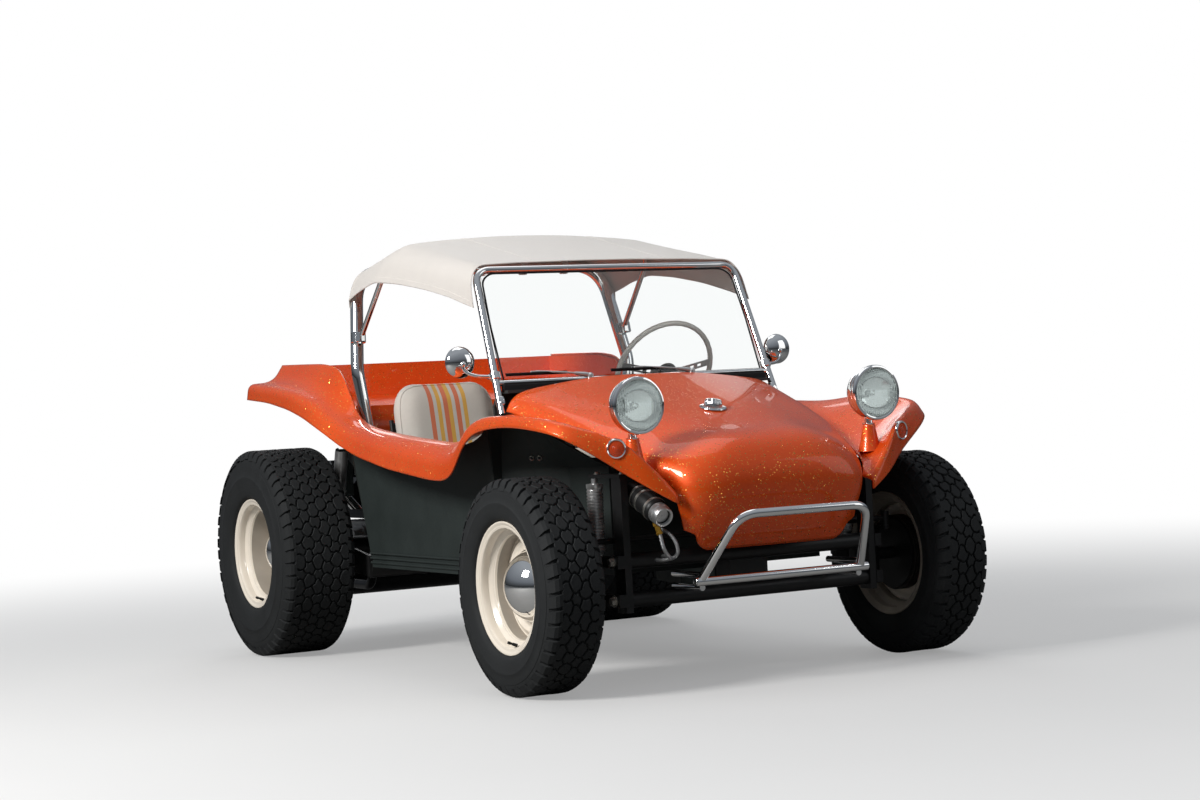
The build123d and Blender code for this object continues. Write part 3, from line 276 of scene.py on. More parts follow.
# Front shocks: steel tubes between the arms and the towers, one on each side. A silver sleeve with pressed
# ribs covers most of its length, and a thin rod comes out at the top.
silver = finish("silver paint", (0.62, 0.62, 0.61), rough=0.3, metal=0.85, mottle=0.15, patch=50)
shocks = Heap()
# the ribs, and the share of the shock's length from one to the next
SHOCK_RIBS, RIB_PITCH = 19, 0.042
for side in (1, -1):
    foot, top = spot(side * 470, 0, 414), spot(side * 468, 0, 657)
    outline = [(0, 0.016), (0.03, 0.020), (0.05, 0.026)]
    for rib in range(SHOCK_RIBS):
        low_share = 0.06 + rib * RIB_PITCH
        outline += [(low_share, 0.0235), (low_share + 0.012, 0.0265), (low_share + 0.028, 0.0265),
                    (low_share + 0.040, 0.0235)]
    outline += [(0.88, 0.027), (0.93, 0.027), (0.94, 0.010), (1, 0.010)]
    shocks.turned(foot, top, outline, sides=28)
shocks.make("shock_sleeves", silver, "silver_steel", stands_for=("front_shocks",))

# Running gear behind the tub: the gearbox and the engine are rough cast alloy, and the axle, fan shroud
# and exhaust are steel in black paint. The rear shocks are silver, the air cleaners chromed and the fan
# belt rubber.
cast = finish("rough cast alloy", (0.42, 0.42, 0.41), rough=0.46, metal=0.75, mottle=0.22, patch=26,
              grit=0.6, grit_size=240)
coat_nodes(cast, "cast_alloy", "gearbox", "engine")
coat_nodes(black_steel, "black_steel", "rear_axle", "fan_shroud", "exhaust")
coat_nodes(silver, "silver_steel", "rear_shocks")
coat_nodes(chrome, "chrome", "air_cleaners")
coat_nodes(rubber, "tyre_rubber", "fan_belt")

# Wheels: deep dish steel rims in cream enamel with a rolled lip, a pressed disc and a chromed hub cap, on
# iron brake drums. The all-terrain tyres are moulded: a carcass with rings on its wall, lugs on the
# shoulder and a tread of interlocking blocks.
def lathe(outline, middle, outwards, name, material, body, stands_for=(), steps=128):
    """A shape turned about a wheel's axle from (offset from the middle plane, radius) in millimetres."""
    points, faces = [], []
    count = len(outline)
    for i in range(steps):
        a = tau * i / steps
        points += [middle + Vector((outwards * x, r * cos(a), r * sin(a))) / 1000 for x, r in outline]
    for i in range(steps):
        j = (i + 1) % steps
        for k in range(count):
            m = (k + 1) % count
            if outline[k][1] == 0 and outline[m][1] == 0:
                continue
            faces.append((i * count + k, i * count + m, j * count + m, j * count + k))
    return piece(name, points, faces, material, body, True, stands_for)


def curve_through(points, between=4):
    """Points on a smooth line through the given ones."""
    line = []
    for i in range(len(points) - 1):
        p0, p1 = np.array(points[max(i - 1, 0)], float), np.array(points[i], float)
        p2, p3 = np.array(points[i + 1], float), np.array(points[min(i + 2, len(points) - 1)], float)
        for k in range(between):
            t = k / between
            line.append(tuple(0.5 * (2 * p1 + (p2 - p0) * t + (2 * p0 - 5 * p1 + 4 * p2 - p3) * t ** 2
                                     + (3 * p1 - p0 - 3 * p2 + p3) * t ** 3)))
    line.append(tuple(points[-1]))
    return line


def drift(i, j, k):
    """A fixed small irregularity between -1 and 1 for a moulded block."""
    value = sin(i * 12.9898 + j * 78.233 + k * 37.719) * 43758.5453
    return 2 * (value - floor(value)) - 1


tyre_black = finish("tyre rubber", (0.0125, 0.0135, 0.0138), rough=0.75, mottle=0.35, patch=14, grit=0.35,
                    grit_size=520)
cream = finish("cream enamel", (0.80, 0.715, 0.60), rough=0.24, mottle=0.035, patch=8, coat=0.4)
# The backs of the rims take a much darker cream than their fronts: painted shade, for the inside of the rim
# that lies in shadow.
painted_shade_cream = finish("cream enamel with painted shade", (0.30, 0.26, 0.21), rough=0.6, mottle=0.25, patch=10)
iron = finish("brake drum iron", (0.05, 0.045, 0.04), rough=0.6, metal=0.7, mottle=0.4, patch=30,
              grit=0.4, grit_size=300)
TREAD_DEPTH = 9.5
# millimetres by which the blocks' borders zigzag inside the tread and at its edge, and by which their
# corners and kinks stray from the pattern
ZIGZAG, EDGE_ZIGZAG, STRAY, KINK_STRAY = 6.5, 3.0, 3.4, 3.2
# the same along the tread, and the point at a block's ends, as shares of the pitch
STRAY_ALONG, KINK_ALONG, POINT = 0.13, 0.10, 0.12
# keeps the inset of a sharp corner short
MITRE_LEAST = 0.45
# where a shoulder lug starts and stops, and its lean and draft, as shares of the pitch; how far the short
# ones reach
LUG_START, LUG_STOP, LUG_LEAN, SHORT_LUG = 0.05, 0.88, 0.06, 0.62
BEAD_R, LIP_R = 190.5, 207.5
WHEELBASE = 2032
# x of the middle plane, radius, half width, half width of the rim, disc offset, cap radius, rows of
# blocks, pitches
WHEEL_FRONT = (715, 338.6, 103, 85, -2, 112, 4, 44)
WHEEL_REAR = (732, 391.6, 145, 125, -9, 112, 6, 51)
CAP_HIGH = 78
for place, sizes, side, station in (("front_left", WHEEL_FRONT, 1, 0),
                                    ("front_right", WHEEL_FRONT, -1, 0),
                                    ("rear_left", WHEEL_REAR, 1, WHEELBASE),
                                    ("rear_right", WHEEL_REAR, -1, WHEELBASE)):
    plane_x, radius, half, rim_half, disc, cap, rows, pitches = sizes
    middle = spot(side * plane_x, station, radius)
    body = f"wheel_{place}"
    wall = radius - BEAD_R
    seat = rim_half - 6
    base = radius - TREAD_DEPTH
    flank = curve_through([(seat, 200), (seat + 3, 208), (half - 11, 216), (half - 5, 228),
                           (half - 1, 245)], between=3)
    ring_r = BEAD_R + 0.50 * wall
    flank += [(half - 0.5, ring_r - 5), (half, ring_r - 3.5), (half, ring_r + 1), (half - 1.2, ring_r + 2.5)]
    flank += [(half - 3, BEAD_R + 0.62 * wall), (half - 5.5, BEAD_R + 0.72 * wall),
              (half - 7, BEAD_R + 0.725 * wall), (half - 9, BEAD_R + 0.8 * wall), (half - 17, base - 14),
              (half - 24, base - 4), (half - 36, base), (half - 60, base + 0.8)]
    inside = [(seat - 6, 196), (seat - 4, 222), (half - 20, 240), (half - 20, base - 40),
              (half - 44, base - 14)]
    carcass = flank + [(-x, r) for x, r in reversed(flank)] + [(-x, r) for x, r in inside]
    carcass += list(reversed(inside))
    lathe(carcass, middle, side, f"tyre_carcass_{place}", tyre_black, body,
          stands_for=(f"tyre_{place}",), steps=176)

    tread = Heap()
    tread_half = half - 37
    pitch = tau / pitches

    def on_tyre(angle, x, r):
        """A point of the tyre, by its angle, its offset from the middle plane and its radius."""
        return middle + Vector((side * x, r * cos(angle), r * sin(angle))) / 1000

    def block_corner(k, j):
        """Corner k along boundary j of the rows of blocks: (angle, x)."""
        k = k % (2 * pitches)
        up = 1 if (k + j) % 2 == 0 else -1
        reach = ZIGZAG if 0 < j < rows else EDGE_ZIGZAG
        x = -tread_half + 2 * tread_half * j / rows + up * reach + STRAY * drift(k, j, 1)
        return (k * pitch / 2 + pitch * STRAY_ALONG * drift(k, j, 2), x)

    def between_corners(k, j):
        """The kink half way from corner k to the next one along boundary j."""
        (a0, x0), (a1, x1) = block_corner(k, j), block_corner(k + 1, j)
        a0 += tau * (k // (2 * pitches))
        a1 += tau * ((k + 1) // (2 * pitches))
        kink = KINK_ALONG * pitch * (1 if k % 3 else -1)
        return ((a0 + a1) / 2 + kink, (x0 + x1) / 2 + KINK_STRAY * drift(k % (2 * pitches), j, 3))

    for j in range(rows):
        for i in range(pitches):
            k = 2 * i + j % 2
            edges = []
            for border in (j, j + 1):
                edge_line = []
                for n in range(3):
                    a, x = block_corner(k + n, border)
                    edge_line.append((a + tau * ((k + n) // (2 * pitches)), x))
                    if n < 2:
                        edge_line.append(between_corners(k + n, border))
                edges.append(edge_line)
            low_edge, high_edge = edges
            start_mid = ((low_edge[0][0] + high_edge[0][0]) / 2 + pitch * POINT * (1 if k % 4 < 2 else -1),
                         (low_edge[0][1] + high_edge[0][1]) / 2)
            end_mid = ((low_edge[-1][0] + high_edge[-1][0]) / 2
                       + pitch * POINT * (1 if (k + 2) % 4 < 2 else -1),
                       (low_edge[-1][1] + high_edge[-1][1]) / 2)
            corners = low_edge + [end_mid] + list(reversed(high_edge)) + [start_mid]
            flat = [Vector((a * radius, x)) for a, x in corners]
            count = len(flat)
            inset = []
            for n in range(count):
                before, at, after = flat[n - 1], flat[n], flat[(n + 1) % count]
                one, two = (at - before).normalized(), (after - at).normalized()
                normal = Vector((-one.y - two.y, one.x + two.x))
                turn = normal.length / 2
                inset.append(normal.normalized() / max(turn, MITRE_LEAST))
            rings = []
            # how far each ring is drawn in from the block's outline, and how deep it lies under the tread
            worn = 0.5 + 0.5 * drift(k, j, 5)
            for gap, depth in ((2.4, TREAD_DEPTH + 1), (3.0, 2.0 + worn), (5.0, worn)):
                rings.append([on_tyre((p + n * gap).x / radius, (p + n * gap).y, radius - depth)
                              for p, n in zip(flat, inset)])
            top = [tuple(2 * count + n for n in range(count))]
            tread.add([p for ring in rings for p in ring], top + joined_rings(3, count))
    for edge in (1, -1):
        for i in range(pitches):
            reach = 1.0 if i % 2 else SHORT_LUG
            offset = 0.5 if edge < 0 else 0.0
            a0, a1 = (i + LUG_START + offset) * pitch, (i + LUG_STOP + offset) * pitch
            low_r = radius - 20 - 15 * reach
            crown = [(half - 42, radius - 0.4), (half - 31, radius - 0.8), (half - 20, radius - 6),
                     (half - 13, radius - 17), (half - 6.0, low_r)]
            under = [(half - 42, base), (half - 31, base - 1), (half - 26, base - 7), (half - 18, base - 16),
                     (half - 11, low_r)]
            slant = LUG_LEAN * pitch
            points, faces = [], []
            for n, ((x, r), (ux, ur)) in enumerate(zip(crown, under)):
                lean = slant * n
                for a, px, pr in ((a0 + lean, ux, ur), (a0 + lean + slant, x, r),
                                  (a1 + lean - slant, x, r), (a1 + lean, ux, ur)):
                    points.append(on_tyre(a, edge * px, pr))
            last = len(crown) - 1
            # a lug is open underneath, so only three sides join one ring of four points to the next
            for n in range(last):
                faces += [(4 * n + m, 4 * n + m + 1, 4 * n + 5 + m, 4 * n + 4 + m) for m in range(3)]
            faces += [(0, 1, 2, 3), (4 * last + 3, 4 * last + 2, 4 * last + 1, 4 * last)]
            tread.add(points, faces)
    tread.make(f"tread_{place}", tyre_black, "tyre_rubber", body, smooth=False)

    dish = [(rim_half - 5, LIP_R - 3), (rim_half - 3, LIP_R), (rim_half - 0.6, LIP_R - 0.6),
            (rim_half, LIP_R - 3), (rim_half - 1.2, LIP_R - 7), (rim_half - 5, LIP_R - 11),
            (rim_half - 7, BEAD_R - 4), (rim_half - 11, BEAD_R - 6.5), (rim_half - 16, BEAD_R - 7.5),
            (rim_half - 33, BEAD_R - 8), (rim_half - 40, BEAD_R - 14), (rim_half - 47, 166),
            (rim_half - 54, 164)]
    back = [(-(rim_half - 47), 166), (-(rim_half - 33), BEAD_R - 8), (-(rim_half - 8), BEAD_R - 6),
            (-(rim_half - 1), LIP_R - 8), (-rim_half, LIP_R - 3), (-(rim_half - 3), LIP_R)]
    outer = [(-(rim_half - 5), LIP_R - 4), (-(rim_half - 5.5), BEAD_R), (-(rim_half - 30), BEAD_R),
             (-(rim_half - 44), 170), (rim_half - 44, 170), (rim_half - 30, BEAD_R), (rim_half - 5.5, BEAD_R)]
    lathe(dish + outer[-3:], middle, side, f"rim_band_{place}", cream, body,
          stands_for=(f"rim_{place}",), steps=144)
    lathe([dish[-1]] + back + outer[:-2], middle, side, f"rim_back_{place}", painted_shade_cream, body,
          steps=144)
    pressing = curve_through([(disc - 5, 167), (disc - 6, 160), (disc - 1, 150), (disc + 3, 143),
                              (disc + 1, 135), (disc - 2, 126), (disc - 2, cap + 3), (disc + 1, cap - 2),
                              (disc + 1, cap - 8)], between=3)
    pressing = [(x, min(r, 168)) for x, r in pressing]
    lathe(pressing + [(x - 5, r) for x, r in reversed(pressing)], middle, side, f"rim_disc_{place}", cream,
          body, steps=128)
    ball = (cap ** 2 + CAP_HIGH ** 2) / (2 * CAP_HIGH)
    dome = [(disc, cap + 1.5), (disc + 2.5, cap + 2.5), (disc + 4, cap + 1), (disc + 4.5, cap - 1.5)]
    dome += [(disc + 2 + CAP_HIGH - ball * (1 - cos(a)), ball * sin(a))
             for a in np.linspace(asin((cap - 3) / ball), 0, 22)]
    dome[-1] = (disc + 2 + CAP_HIGH, 0.0)
    lathe(dome + [(disc + 1, 0.0)], middle, side, f"hub_cap_{place}", chrome, body, steps=96)
    drum = [(disc - 7, 0.0), (disc - 7, 118), (disc - 12, 122)]
    for fin in range(4):
        drum += [(disc - 14 - 8 * fin, 126), (disc - 17 - 8 * fin, 126), (disc - 18 - 8 * fin, 121),
                 (disc - 21 - 8 * fin, 121)]
    drum += [(disc - 46, 126), (disc - 50, 126), (disc - 50, 0.0)]
    lathe(drum, middle, side, f"brake_drum_{place}", iron, body, steps=64)
    valve = Heap()
    stem = middle + Vector((side * (rim_half - 30), 0, -(BEAD_R - 12))) / 1000
    valve.turned(stem, stem + Vector((side * 0.030, 0, 0.012)),
                 [(0, 0.0055), (0.45, 0.0050), (0.5, 0.0038), (0.7, 0.0038), (0.72, 0.0048), (1, 0.0045)],
                 sides=12)
    valve.make(f"tyre_valve_{place}", rubber, "tyre_rubber", body)

# Body: one moulding of glass-fibre on each side in clear gel over orange metal flake, from the front fender
# over the pod to the rear fender, with a rounded crest whose flange turns down. The hood is a separate
# smooth cover with a blunt nose, and a flaked post on each side carries a headlight.
flake, tree, shader, place = new_material("orange metal flake")
chips = add_node(tree, "TexVoronoi", {"Scale": 340, "Vector": place})
split = add_node(tree, "SeparateColor", {"Color": chips.outputs["Color"]})
bright = add_node(tree, "MapRange", {"From Min": 0.945, "From Max": 0.975, "Value": split.outputs["Red"]})
depth = add_node(tree, "TexNoise", {"Scale": 3.5, "Detail": 4, "Vector": place})
ground = add_node(tree, "Mix", {"A": (0.68, 0.060, 0.003, 1), "B": (0.86, 0.102, 0.005, 1),
                                "Factor": depth.outputs["Fac"]}, data_type="RGBA")
speck = add_node(tree, "Mix", {"A": ground.outputs["Result"], "B": (1.0, 0.52, 0.10, 1),
                               "Factor": bright.outputs["Result"]}, data_type="RGBA")
gleam = add_node(tree, "MapRange", {"To Min": 0.25, "To Max": 0.95, "Value": bright.outputs["Result"]})
rougher = add_node(tree, "MapRange", {"To Min": 0.42, "To Max": 0.22, "Value": bright.outputs["Result"]})
straight = add_node(tree, "NewGeometry", {})
tip = add_node(tree, "VectorMath", {0: chips.outputs["Color"], 1: (0.5, 0.5, 0.5)}, operation="SUBTRACT")
lean = add_node(tree, "MapRange", {"To Min": 0.06, "To Max": 0.80, "Value": bright.outputs["Result"]})
tilt = add_node(tree, "VectorMath", {0: tip.outputs["Vector"], 1: lean.outputs["Result"],
                                     2: straight.outputs["Normal"]}, operation="MULTIPLY_ADD")
facet = add_node(tree, "VectorMath", {0: tilt.outputs["Vector"]}, operation="NORMALIZE")
feed(shader, {"Base Color": speck.outputs["Result"], "Metallic": gleam.outputs["Result"],
              "Roughness": rougher.outputs["Result"], "Normal": facet.outputs["Vector"],
              "Specular IOR Level": 0.25, "Coat Weight": 0.5, "Coat Roughness": 0.03})


def skin(name, grid, thick, material, stands_for):
    """A shell from a grid of points on its outer face, thickened inwards by so many metres."""
    rows, columns = grid.shape[:2]
    faces = [(r * columns + c, r * columns + c + 1, (r + 1) * columns + c + 1, (r + 1) * columns + c)
             for r in range(rows - 1) for c in range(columns - 1)]
    obj = piece(name, grid.reshape(-1, 3), faces, material, stands_for=stands_for)
    sheet = obj.modifiers.new("thickness", "SOLIDIFY")
    sheet.thickness = thick
    sheet.offset = -1
    return obj


def evened(grid, axis, spread):
    """The grid smoothed along one axis with a bell of that many points, its ends held."""
    reach = int(3 * spread)
    bell = np.exp(-0.5 * (np.arange(-reach, reach + 1) / spread) ** 2)
    bell /= bell.sum()
    moved = np.moveaxis(grid, axis, 0)
    first, last = moved[:1], moved[-1:]
    before = 2 * first - moved[1:reach + 1][::-1]
    after = 2 * last - moved[-reach - 1:-1][::-1]
    longer = np.concatenate([before, moved, after])
    out = sum(b * longer[i:i + len(moved)] for i, b in enumerate(bell))
    return np.moveaxis(out, 0, axis)


def stepped(line, step):
    """A chain of points cut into even short steps."""
    line = np.array(line, float)
    gaps = np.linalg.norm(np.diff(line, axis=0), axis=1)
    walked = np.concatenate([[0], np.cumsum(gaps)])
    count = step if isinstance(step, int) else max(2, int(walked[-1] / step) + 1)
    marks = np.linspace(0, walked[-1], count)
    return np.stack([np.interp(marks, walked, line[:, k]) for k in range(line.shape[1])], axis=1)


def respaced(grid, count):
    """The grid with that many rows, evenly spaced along its middle."""
    steps = np.linalg.norm(np.diff(grid.mean(axis=1), axis=0), axis=1)
    lengths = np.concatenate([[0], np.cumsum(steps)])
    marks = np.linspace(0, lengths[-1], count)
    columns = range(grid.shape[1])
    spread = [[np.interp(marks, lengths, grid[:, c, k]) for c in columns] for k in range(3)]
    return np.stack(spread).transpose(2, 1, 0)


def in_frame(grid, side=1):
    """A grid of x, station and z in millimetres as metres in the frame."""
    return np.stack([side * grid[..., 0] / 1000, FRONT_AXLE + grid[..., 1] / 1000, grid[..., 2] / 1000],
                    axis=-1)


SHELL_THICK = 0.0065
# inner edge x, station, z; bend share and z; crest x, station, z; flange reach and z
RIBS = (
    (350, -290, 615, 0.50, 610, 362, -334, 600, 2, 574),
    (378, -262, 655, 0.50, 662, 420, -319, 682, 2, 607),
    (398, -215, 672, 0.50, 690, 470, -301, 742, 3, 643),
    (418, -160, 688, 0.50, 715, 512, -271, 793, -4, 672),
    (440, -95, 705, 0.50, 738, 575, -246, 822, 6, 724),
    (458, -35, 724, 0.50, 765, 645, -204, 844, 28, 782),
    (464, -8, 733, 0.50, 776, 672, -168, 852, 36, 806),
    (470, 25, 745, 0.50, 790, 690, -105, 861, 26, 815),
    (480, 90, 768, 0.50, 812, 704, 0, 870, 14, 828),
    (490, 165, 795, 0.50, 838, 709, 130, 875, 10, 834),
    (503, 260, 828, 0.50, 852, 710, 257, 875, 10, 829),
    (517, 350, 856, 0.50, 864, 710, 354, 862, 10, 815),
    (530, 430, 880, 0.50, 868, 711, 426, 838, 10, 780),
    (545, 490, 868, 0.50, 842, 712, 470, 795, 9, 735),
    (562, 545, 835, 0.50, 806, 712, 515, 755, 9, 683),
    (580, 600, 806, 0.50, 790, 710, 575, 740, 11, 661),
    (600, 700, 783, 0.45, 784, 705, 700, 742, 16, 667),
    (600, 1040, 810, 0.45, 812, 703, 1040, 778, 18, 704),
    (600, 1300, 835, 0.45, 840, 703, 1300, 815, 18, 748),
    (600, 1450, 857, 0.45, 863, 705, 1450, 845, 22, 790),
    (600, 1560, 900, 0.40, 893, 712, 1560, 888, 26, 835),
    (600, 1640, 1010, 0.35, 930, 722, 1640, 925, 24, 865),
    (600, 1720, 1080, 0.35, 970, 732, 1720, 958, 16, 893),
    (600, 1860, 1098, 0.35, 1005, 740, 1870, 995, 10, 930),
    (600, 2060, 1104, 0.30, 1030, 742, 2080, 1022, 9, 962),
    (600, 2290, 1110, 0.30, 1045, 742, 2300, 1040, 9, 979),
)
SIDE_COLUMNS, SIDE_ROWS, SIDE_SMOOTH = 30, 230, 3.2
for side, hand in ((1, "left"), (-1, "right")):
    ribs = []
    for ax, a_s, az, m_share, mz, bx, b_s, bz, reach, cz in RIBS:
        inner, crest = Vector((ax, a_s, az)), Vector((bx, b_s, bz))
        width = hypot(bx - ax, b_s - a_s)
        bend = Vector((ax + (bx - ax) * m_share, a_s + (b_s - a_s) * m_share, mz))
        edge = Vector((bx + (bx - ax) / width * reach, b_s + (b_s - a_s) / width * reach, cz))
        cut = min(30, (crest - edge).length * 0.45)
        chain = rounded([inner, bend, crest, edge], [45, cut], steps=8)
        ribs.append(stepped([tuple(p) for p in chain], SIDE_COLUMNS))
    grid = in_frame(evened(respaced(np.array(ribs), SIDE_ROWS), 0, SIDE_SMOOTH), side)
    skin(f"body_shell_{hand}", grid, SHELL_THICK, flake, (f"body_side_{hand}",))
    post = Heap()
    post.turned(spot(side * 441, -212, 690), spot(side * 441, -212, 782),
                [(0, 0.040), (0.3, 0.031), (0.6, 0.0255), (0.85, 0.0215), (0.95, 0.020), (1, 0.016)],
                sides=40)
    post.make(f"lamp_post_{hand}", flake, "orange_gelcoat")

hood_tree = BVHTree.FromObject(nodes["hood"], bpy.context.evaluated_depsgraph_get())
# station and z of the point the rays come from, and the direction they look along the centre line, in degrees
# from straight up towards the front
HOOD_LOOK = ((470, 700, 0), (300, 690, 0), (100, 660, 2), (-60, 640, 8), (-160, 630, 25), (-210, 625, 50),
             (-225, 620, 72), (-230, 610, 92), (-235, 600, 110), (-240, 590, 128), (-246, 575, 150),
             (-250, 560, 169.3))
HOOD_ROWS, HOOD_COLUMNS = 140, 72
RAY_LENGTH, TURN_STEP, MOST_TURN = 1.2, 0.02, 2.6
SMOOTH_ACROSS, SMOOTH_ALONG, SMOOTH_CHIN = 8.0, 6.5, 11.0
CHIN_ROW, CHIN_BLEND, NOSE_Y = 104, 35, -1.2
look = stepped(HOOD_LOOK, HOOD_ROWS)
rows = []
for station, z, lean in look:
    a = radians(lean)
    start = spot(0, station, z)
    out = Vector((0, -sin(a), cos(a)))

    def struck(turn):
        """Where a ray from outside, leaning sideways by that angle, meets the hood."""
        way = out * cos(turn) + Vector((sin(turn), 0, 0))
        way.normalize()
        return hood_tree.ray_cast(start + way * RAY_LENGTH, -way, RAY_LENGTH)[0]

    reach = 0.2
    while reach < MOST_TURN and struck(reach + TURN_STEP) is not None:
        reach += TURN_STEP
    half_row = [struck(t) for t in np.linspace(0, reach, HOOD_COLUMNS)]
    half_row = stepped([tuple(p) for p in half_row if p is not None], HOOD_COLUMNS)
    mirrored = half_row[:0:-1] * np.array((-1, 1, 1))
    rows.append(np.concatenate([mirrored, half_row]))
grid = np.array(rows)
# twice, so that the creases go and the size stays
once = evened(evened(grid, 1, SMOOTH_ACROSS), 0, SMOOTH_ALONG)
grid = 2 * once - evened(evened(once, 1, SMOOTH_ACROSS), 0, SMOOTH_ALONG)
corner_turn = np.clip((np.arange(HOOD_ROWS) - CHIN_ROW) / CHIN_BLEND, 0, 1)[:, None, None]
grid = grid * (1 - corner_turn) + evened(grid, 1, SMOOTH_CHIN) * corner_turn
# the chin ends in rounded corners
CORNER_X, CORNER_R, HOOD_LOW = 0.276, 0.055, 0.420
for r in range(HOOD_ROWS):
    for c in range(grid.shape[1]):
        x, y, z = grid[r, c]
        over, under = abs(x) - (CORNER_X - CORNER_R), HOOD_LOW + CORNER_R - z
        if over > 0 and under > 0 and hypot(over, under) > CORNER_R and y < NOSE_Y:
            share = CORNER_R / hypot(over, under)
            grid[r, c] = ((CORNER_X - CORNER_R + over * share) * (1 if x > 0 else -1), y,
                          HOOD_LOW + CORNER_R - under * share)
skin("hood_skin", grid, SHELL_THICK, flake, ("hood",))

# Rear tub: the bulkhead behind the seats, a deck over the engine, the tail wall and the linings inside
# the fenders, laid up in one piece in the same flake and painted black behind. Two steel towers under it
# hold the rear shocks.
DECK_FRONT, DECK_REAR, REAR = (1713, 930), (2290, 972), 2290
tub, backing = Heap(), Heap()


def plate(heap, outline, thick):
    """A flat sheet with the given corners, thickened by a vector."""
    sides = len(outline)
    heap.add(list(outline) + [p + thick for p in outline], end_caps(2, sides) + joined_rings(2, sides))


BULKHEAD = [spot(-544, 1582, 345), spot(544, 1582, 345), spot(582, *DECK_FRONT), spot(-582, *DECK_FRONT)]
plate(tub, BULKHEAD, Vector((0, 0.005, 0)))
plate(backing, [Vector((p.x * 1.02, p.y + 0.0055, p.z)) for p in BULKHEAD], Vector((0, 0.002, 0)))
DECK = [spot(-586, *DECK_FRONT), spot(586, *DECK_FRONT), spot(586, *DECK_REAR), spot(-586, *DECK_REAR)]
plate(tub, DECK, Vector((0, 0, -0.004)))
plate(backing, [p - Vector((0, 0, 0.0045)) for p in DECK], Vector((0, 0, -0.002)))
plate(tub, [spot(-592, REAR, 932), spot(592, REAR, 932), spot(592, REAR, 1101), spot(-592, REAR, 1101)],
      Vector((0, -0.006, 0)))
LINING = ((1470, 858), (1570, 880), (1640, 975), (1725, 1064), (1860, 1086), (REAR, 1101), (REAR, 966),
          (1713, 924), (1682, 862), (1540, 858.5))
for side in (1, -1):
    plate(tub, [spot(side * 586, s, z) for s, z in LINING], Vector((side * 0.009, 0, 0)))
towers = Heap()
# the side plate of a tower as station and z, and the flange along its top as x, station and z
TOWER = ((1660, 374), (1724, 362), (1802, 600), (2064, 728), (2064, 784), (2024, 796), (1742, 664))
FLANGE = ((420, 1742, 664), (444, 1742, 664), (444, 2024, 796), (420, 2024, 796))
for side in (1, -1):
    plate(towers, [spot(side * 431, s, z) for s, z in TOWER], Vector((side * 0.007, 0, 0)))
    plate(towers, [spot(side * x, s, z) for x, s, z in FLANGE], Vector((0, -0.002, 0.004)))
    towers.turned(spot(side * 424, 2042, 760), spot(side * 492, 2042, 760),
                  [(0, 0.012), (0.1, 0.014), (0.1, 0.009), (0.9, 0.009), (0.9, 0.014), (1, 0.012)], sides=20)
towers.make("rear_shock_towers", black_steel, "black_steel", smooth=False)
backing.make("tub_backing", matt_black, "black_textured_paint", smooth=False)
tub.make("rear_tub_skin", flake, "orange_gelcoat", stands_for=("rear_tub",), smooth=False)

# Windshield: a chromed tube hoop with its feet through the cowl, a chromed sill over a black rubber seal,
# and one flat pane of clear glass.
def both_halves(half_path):
    """A path given from its foot to the middle of the car, carried on down the other half."""
    return [spot(*p) for p in half_path] + [spot(-x, s, z) for x, s, z in reversed(half_path) if x]


FRAME_FOOT, FRAME_TOP = (541, 478, 872), (514, 688, 1365)
hoop = Heap()
hoop.pipe(rounded(both_halves((FRAME_FOOT, FRAME_TOP)), 0.058, steps=14), 0.0125, sides=24)
hoop.pipe(both_halves(((-526, 522, 976), (0, 522, 976))), 0.010, sides=20)
for side in (1, -1):
    hoop.turned(spot(side * 534, 496, 900), spot(side * 533, 503, 930),
                [(0, 0.0150), (0.1, 0.0170), (0.9, 0.0170), (1, 0.0150)], sides=28)
    hoop.bolt(spot(side * 535, 482, 914), (0, -1, 0.3), radius=0.005)
hoop.make("windshield_hoop", chrome, "chrome", stands_for=("windshield_frame",))
seal = Heap()
seal.box(spot(0, 514, 958), (1.030, 0.022, 0.026))
seal.box(spot(0, 512, 972), (1.020, 0.010, 0.012))
# x, and the share of the way up the glass
GASKET = ((505, 0.03), (505, 0.5), (495, 0.90), (462, 0.965), (0, 0.965))
gasket_line = both_halves([(x, 522 + 166 * share, 976 + 389 * share) for x, share in GASKET])
seal.pipe(rounded(gasket_line, 0.02, steps=5), 0.0035, sides=8)
seal.make("windshield_seal", rubber, "black_steel")
glass, tree, shader, place = new_material("clear glass")
haze = add_node(tree, "TexNoise", {"Scale": 6, "Vector": place})
smear = add_node(tree, "MapRange", {"To Min": 0.0, "To Max": 0.025, "Value": haze.outputs["Fac"]})
feed(shader, {"Base Color": (0.97, 0.99, 0.985, 1), "Transmission Weight": 1.0, "IOR": 1.45,
              "Roughness": smear.outputs["Result"]})
coat_nodes(glass, "clear_glass", "windshield_glass")

# Wipers: two spindles come up through the scuttle and carry bent arms in silver paint. The blades are
# black rubber in a thin holder and lie along the foot of the glass.
arms, blades = Heap(), Heap()
for x in (-200, 200):
    arms.turned(spot(x, 484, 955), spot(x, 484, 998),
                [(0, 0.014), (0.5, 0.012), (0.85, 0.012), (1, 0.006)], sides=20)
    arms.turned(spot(x - 4, 484, 990), spot(x - 55, 492, 999), [(0, 0.008), (0.3, 0.009), (1, 0.0045)],
                sides=14)
    arms.pipe(rounded([spot(x - 45, 490, 998), spot(x - 120, 505, 1006), spot(x - 190, 512, 1011)], 0.03),
              0.0032, sides=10)
    arms.box(spot(x - 190, 510, 1010), (0.040, 0.007, 0.006))
    blades.box(spot(x - 190, 508, 1006), (0.230, 0.0075, 0.0055))
    blades.box(spot(x - 190, 511, 1002), (0.226, 0.003, 0.008))
arms.make("wiper_arms", silver, "black_steel", stands_for=("wipers",))
blades.make("wiper_blades", rubber, "black_steel")

